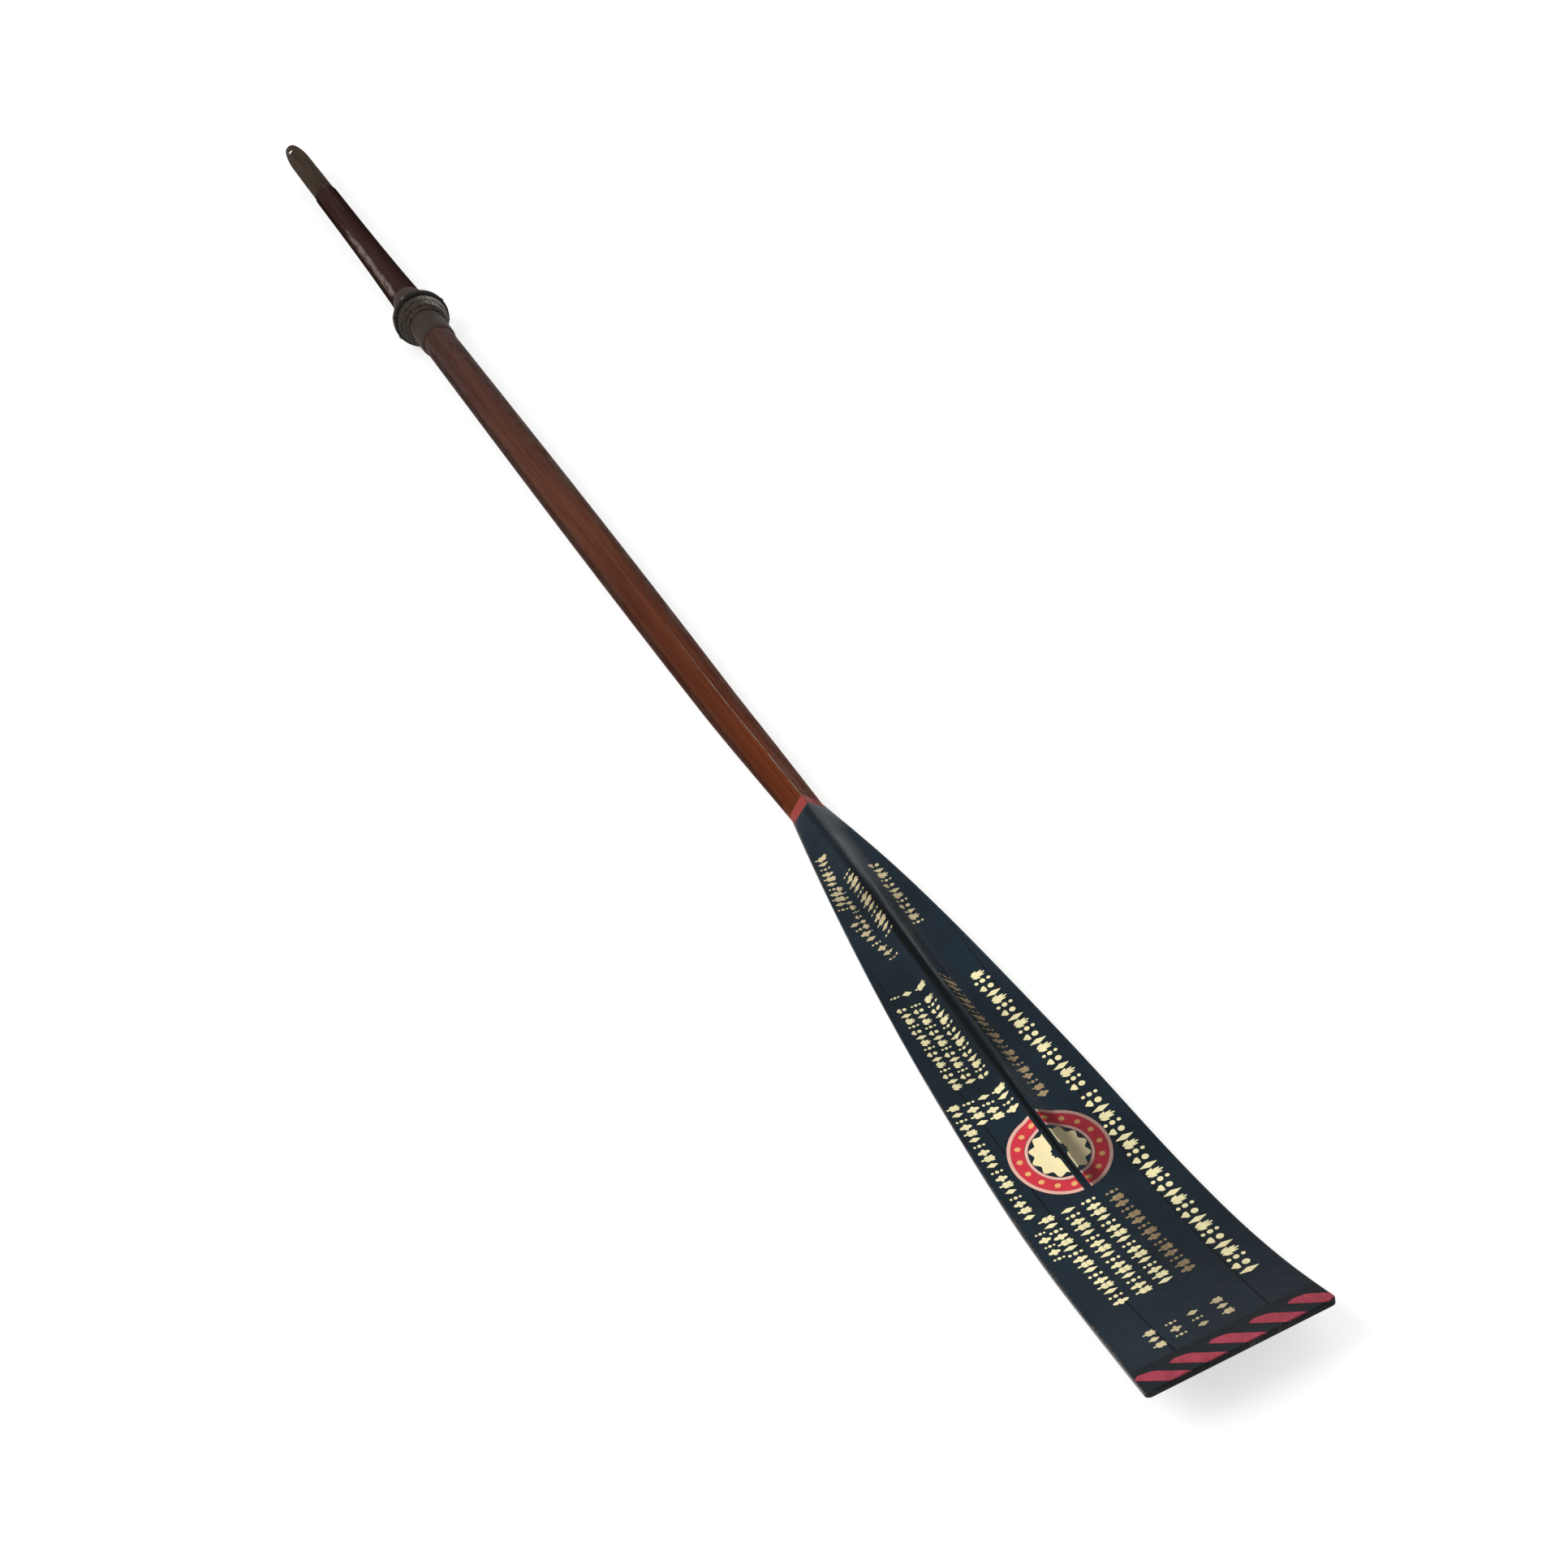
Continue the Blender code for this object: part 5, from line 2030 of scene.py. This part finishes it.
    def make_button(self, leathers: Sequence[Material], copper: Material) -> None:
        """Make the button's layers and the nails round it.

        Args:
            leathers: The layers' leathers from the base outward.
            copper: The nails' metal.
        """
        shape = self.shape
        for index in range(self.layer_count):
            inner = shape.sleeve_outer + shape.gap + index * (self.layer_thickness + shape.gap)
            outer = inner + self.layer_thickness
            width = self.base_width - (self.base_width - self.outer_width) / (self.layer_count - 1) * index
            rise = [(0.0, 0.0), (0.0003, 0.14), (0.0012, 0.30), (0.0028, 0.53), (0.0045, 0.73),
                    (self.layer_skive + 0.0010, 0.88), (self.layer_skive + 0.0034, 1.0)]
            edge = inner + self.layer_edge * 0.7
            profile = []
            for run, share in rise:
                worn = self.layer_wear * exp(-run / self.layer_rub)
                profile.append((run, edge + (outer - edge) * share, worn))
            start, end = shape.outboard - width / 2, shape.outboard + width / 2
            rows = [(start + run, inner, reach, wear) for run, reach, wear in profile]
            flat = steps(start + rise[-1][0], end - rise[-1][0], 4)[1:-1]
            rows += [(s, inner, outer, 0.06) for s in flat]
            rows += [(end - run, inner, reach, wear) for run, reach, wear in reversed(profile)]
            slit = self.slit_first + self.slit_pitch * index
            self.bent_strip(rows, slit, self.layer_uneven, f"button_layer_{index + 1}", leathers[index],
                            "button_leather", self.layer_highlight[index])
        head = TackHead(self.nail_diameter, self.nail_height)
        for i in range(self.nail_count):
            angle = 2 * pi * (i + 0.5) / self.nail_count
            y, z = cos(angle), sin(angle)
            seat = shape.point(shape.outboard, outer * y, outer * z)
            head.build(f"button_nail_{i + 1}", copper, seat, shape.direction(y, z), "copper_tacks")

    def build(self) -> None:
        """Make the leathers."""
        copper = COPPER.make()
        base, button, rim = BASE_LEATHER.make(), BUTTON_LEATHER.make(), RIM_LEATHER.make()
        self.make_sleeve(SLEEVE_LEATHER.make(), copper)
        self.make_button([base, button, button, rim], copper)


@dataclass
class Studio:
    """The pale floor, the soft light and the camera at the photograph's angle."""

    shape: OarShape
    camera_place: Triple = (-2.83876396, 0.41691675, 1.32746561)
    camera_turn: Triple = (55.30863376, 13.78350559, -111.69000325)
    lens: float = 51.56692744
    floor_size: float = 60.0
    floor_white: float = 0.55
    floor_glow: float = 0.64
    zenith: float = 1.05
    horizon: float = 0.17
    dark_below: float = 0.35
    key_place: Triple = (-1.2, 2.6, 3.2)
    key_aim: Triple = (-0.4, 0.0, 0.0)
    key_size: Flat = (3.0, 2.2)
    key_power: float = 95.0

    def make_floor(self) -> None:
        """Make the pale floor, which looks white where no shadow falls on it."""
        data = bmesh.new()
        bmesh.ops.create_grid(data, x_segments=6, y_segments=6, size=self.floor_size / 2)
        mesh = bpy.data.meshes.new("studio_floor")
        data.to_mesh(mesh)
        data.free()
        floor = stand("studio_floor", mesh)
        wires = Wiring("pale_floor")
        rays = wires.node("ShaderNodeLightPath")
        seen = wires.sums("MAXIMUM", rays.outputs["Is Camera Ray"], rays.outputs["Is Glossy Ray"])
        seen = wires.sums("MAXIMUM", seen, rays.outputs["Is Transmission Ray"])
        glow = wires.sums("MULTIPLY", seen, self.floor_glow)
        white = (self.floor_white,) * 3
        mesh.materials.append(wires.finish(white, 0.9, Specular_IOR_Level=0.0, Emission_Strength=glow,
                                           Emission_Color=(1.0, 1.0, 1.0)))

    def make_world(self) -> None:
        """Make the soft surrounding light, brightest overhead, and white where it is seen."""
        world = bpy.data.worlds.new("soft_room")
        bpy.context.scene.world = world
        world.use_nodes = True
        make, join = world.node_tree.nodes.new, world.node_tree.links.new
        shade = world.node_tree.nodes["Background"]
        split, span = make("ShaderNodeSeparateXYZ"), make("ShaderNodeMapRange")
        join(make("ShaderNodeTexCoord").outputs["Generated"], split.inputs[0])
        span.interpolation_type = "SMOOTHSTEP"
        for key, value in (("From Min", self.dark_below), ("From Max", 1.0), ("To Min", self.horizon),
                           ("To Max", self.zenith)):
            span.inputs[key].default_value = value
        join(split.outputs["Z"], span.inputs["Value"])
        rays = make("ShaderNodeLightPath")
        seen = rays.outputs["Is Camera Ray"]
        for kind in ("Is Glossy Ray", "Is Transmission Ray"):
            either = make("ShaderNodeMath")
            either.operation = "MAXIMUM"
            join(seen, either.inputs[0])
            join(rays.outputs[kind], either.inputs[1])
            seen = either.outputs[0]
        white = make("ShaderNodeMix")
        join(seen, white.inputs["Factor"])
        join(span.outputs["Result"], white.inputs["A"])
        white.inputs["B"].default_value = 1.0
        join(white.outputs["Result"], shade.inputs["Strength"])
        shade.inputs["Color"].default_value = (1.0, 0.995, 0.985, 1.0)

    def make_key(self) -> None:
        """Hang the soft key lamp."""
        lamp = bpy.data.lights.new("key_softbox", "AREA")
        lamp.shape = "RECTANGLE"
        lamp.size, lamp.size_y = self.key_size
        lamp.energy = self.key_power
        hung = stand("key_softbox", lamp)
        hung.location = self.key_place
        aim = Vector(self.key_aim) - Vector(self.key_place)
        hung.rotation_euler = aim.to_track_quat("-Z", "Y").to_euler()

    def make_camera(self) -> None:
        """Set the camera at the photograph's angle."""
        eye = bpy.data.cameras.new("photograph")
        eye.sensor_fit = "HORIZONTAL"
        eye.sensor_width = 36.0
        eye.lens = self.lens
        eye.clip_start, eye.clip_end = 0.05, 100.0
        camera = stand("photograph", eye)
        camera.location = self.camera_place
        camera.rotation_euler = tuple(radians(turn) for turn in self.camera_turn)
        bpy.context.scene.camera = camera

    def build(self) -> None:
        """Make the studio."""
        self.make_floor()
        self.make_world()
        self.make_key()
        self.make_camera()
        bpy.context.scene.view_settings.view_transform = "Standard"


NAVY_PAINT = BladePaint("navy_blade_paint", (0.009, 0.017, 0.025), (0.060, 0.056, 0.052), specular=0.06)
TIP_PAINT = BladePaint("black_tip_paint", (0.011, 0.014, 0.018), (0.060, 0.060, 0.060), specular=0.04)
RED_BAND = BladePaint("red_band_paint", (0.240, 0.040, 0.036), (0.13, 0.04, 0.03), 0.22, 0.36,
                      specular=0.05)
RED_STRIPE = BladePaint("red_stripe_paint", (0.43, 0.058, 0.092), (0.11, 0.025, 0.032), 0.34, 0.38,
                        specular=0.05)
GILT = BladePaint("gilt_paint", (0.84, 0.76, 0.44), (0.35, 0.30, 0.17), 0.16, 0.42)
DULL_GILT = BladePaint("dull_gilt_paint", (0.56, 0.47, 0.28), (0.20, 0.17, 0.11), 0.26, 0.44)
# A dimmer gilt for the rows right of the ridge line, as painted shade.
SHADED_GILT = BladePaint("shaded_gilt_paint", (0.30, 0.22, 0.12), (0.06, 0.06, 0.05), 0.35, 0.45)
MEDALLION_RED = BladePaint("medallion_red_paint", (0.56, 0.034, 0.055), (0.2, 0.03, 0.04), 0.16, 0.36)
PINK_LINE = BladePaint("pink_line_paint", (0.74, 0.42, 0.34), (0.3, 0.2, 0.16), 0.14, 0.40)
ORANGE_GOLD = BladePaint("orange_gold_paint", (0.76, 0.40, 0.15), (0.3, 0.2, 0.1), 0.14, 0.40)
CREAM_PAINT = BladePaint("cream_paint", (0.86, 0.74, 0.43), (0.4, 0.35, 0.2), 0.10, 0.42)
SPRUCE = VarnishedWood("varnished_spruce_grain", (0.125, 0.030, 0.010), (0.108, 0.037, 0.020),
                       (0.068, 0.027, 0.020), (0.046, 0.022, 0.018), (0.50, 0.36, 0.27), specular=0.012)
INBOARD_SPRUCE = VarnishedWood("dulled_spruce_grain", (0.130, 0.030, 0.009), (0.119, 0.041, 0.021),
                               (0.075, 0.040, 0.034), (0.047, 0.027, 0.025), (0.50, 0.36, 0.27),
                               roughness=0.5, specular=0.0)
HARDWOOD = VarnishedWood("hardwood_strip_grain", (0.075, 0.024, 0.013), (0.062, 0.022, 0.014),
                         (0.055, 0.026, 0.020), (0.032, 0.017, 0.014), (0.40, 0.30, 0.24), 0.7)
GRIP_WOOD = BareWood("bare_grip_grain", (0.052, 0.034, 0.020), (0.040, 0.027, 0.018), (0.30, 0.26, 0.21))
SLEEVE_LEATHER = OldLeather("sleeve_hide", (0.028, 0.018, 0.014), (0.050, 0.033, 0.026),
                            (0.075, 0.055, 0.044))
# The button's layers turn to their pale colour where worn and where a painted highlight lies on their upper
# right side.
BASE_LEATHER = OldLeather("button_base_hide", (0.028, 0.018, 0.013), (0.052, 0.035, 0.026),
                          (0.115, 0.095, 0.075), specular=0.03)
BUTTON_LEATHER = OldLeather("button_hide", (0.028, 0.020, 0.016), (0.056, 0.043, 0.034),
                            (0.28, 0.26, 0.225), specular=0.03, mottle=0.10)
RIM_LEATHER = OldLeather("button_rim_hide", (0.005, 0.0045, 0.004), (0.010, 0.009, 0.008),
                         (0.022, 0.019, 0.016))
COPPER = OldMetal("nail_copper", (0.20, 0.125, 0.085), (0.050, 0.036, 0.027), 0.42)
PALE_METAL = OldMetal("tack_metal", (0.96, 0.95, 0.93), (0.84, 0.82, 0.78), 0.42, 0.0, 0.25)


def main() -> None:
    """Build the oar's looks in order."""
    low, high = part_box("button_layer_4")
    origin = tuple((a + b) / 2 for a, b in zip(low, high))
    shape = OarShape(origin=origin)
    loom = Loom(shape)
    finishes = loom.build()
    Blade(shape).build(finishes)
    Decoration(shape).build()
    Grip(shape).build()
    Leathers(shape).build()
    Studio(shape).build()
    LOG.info("sizes written")


if __name__ == "__main__":
    main()
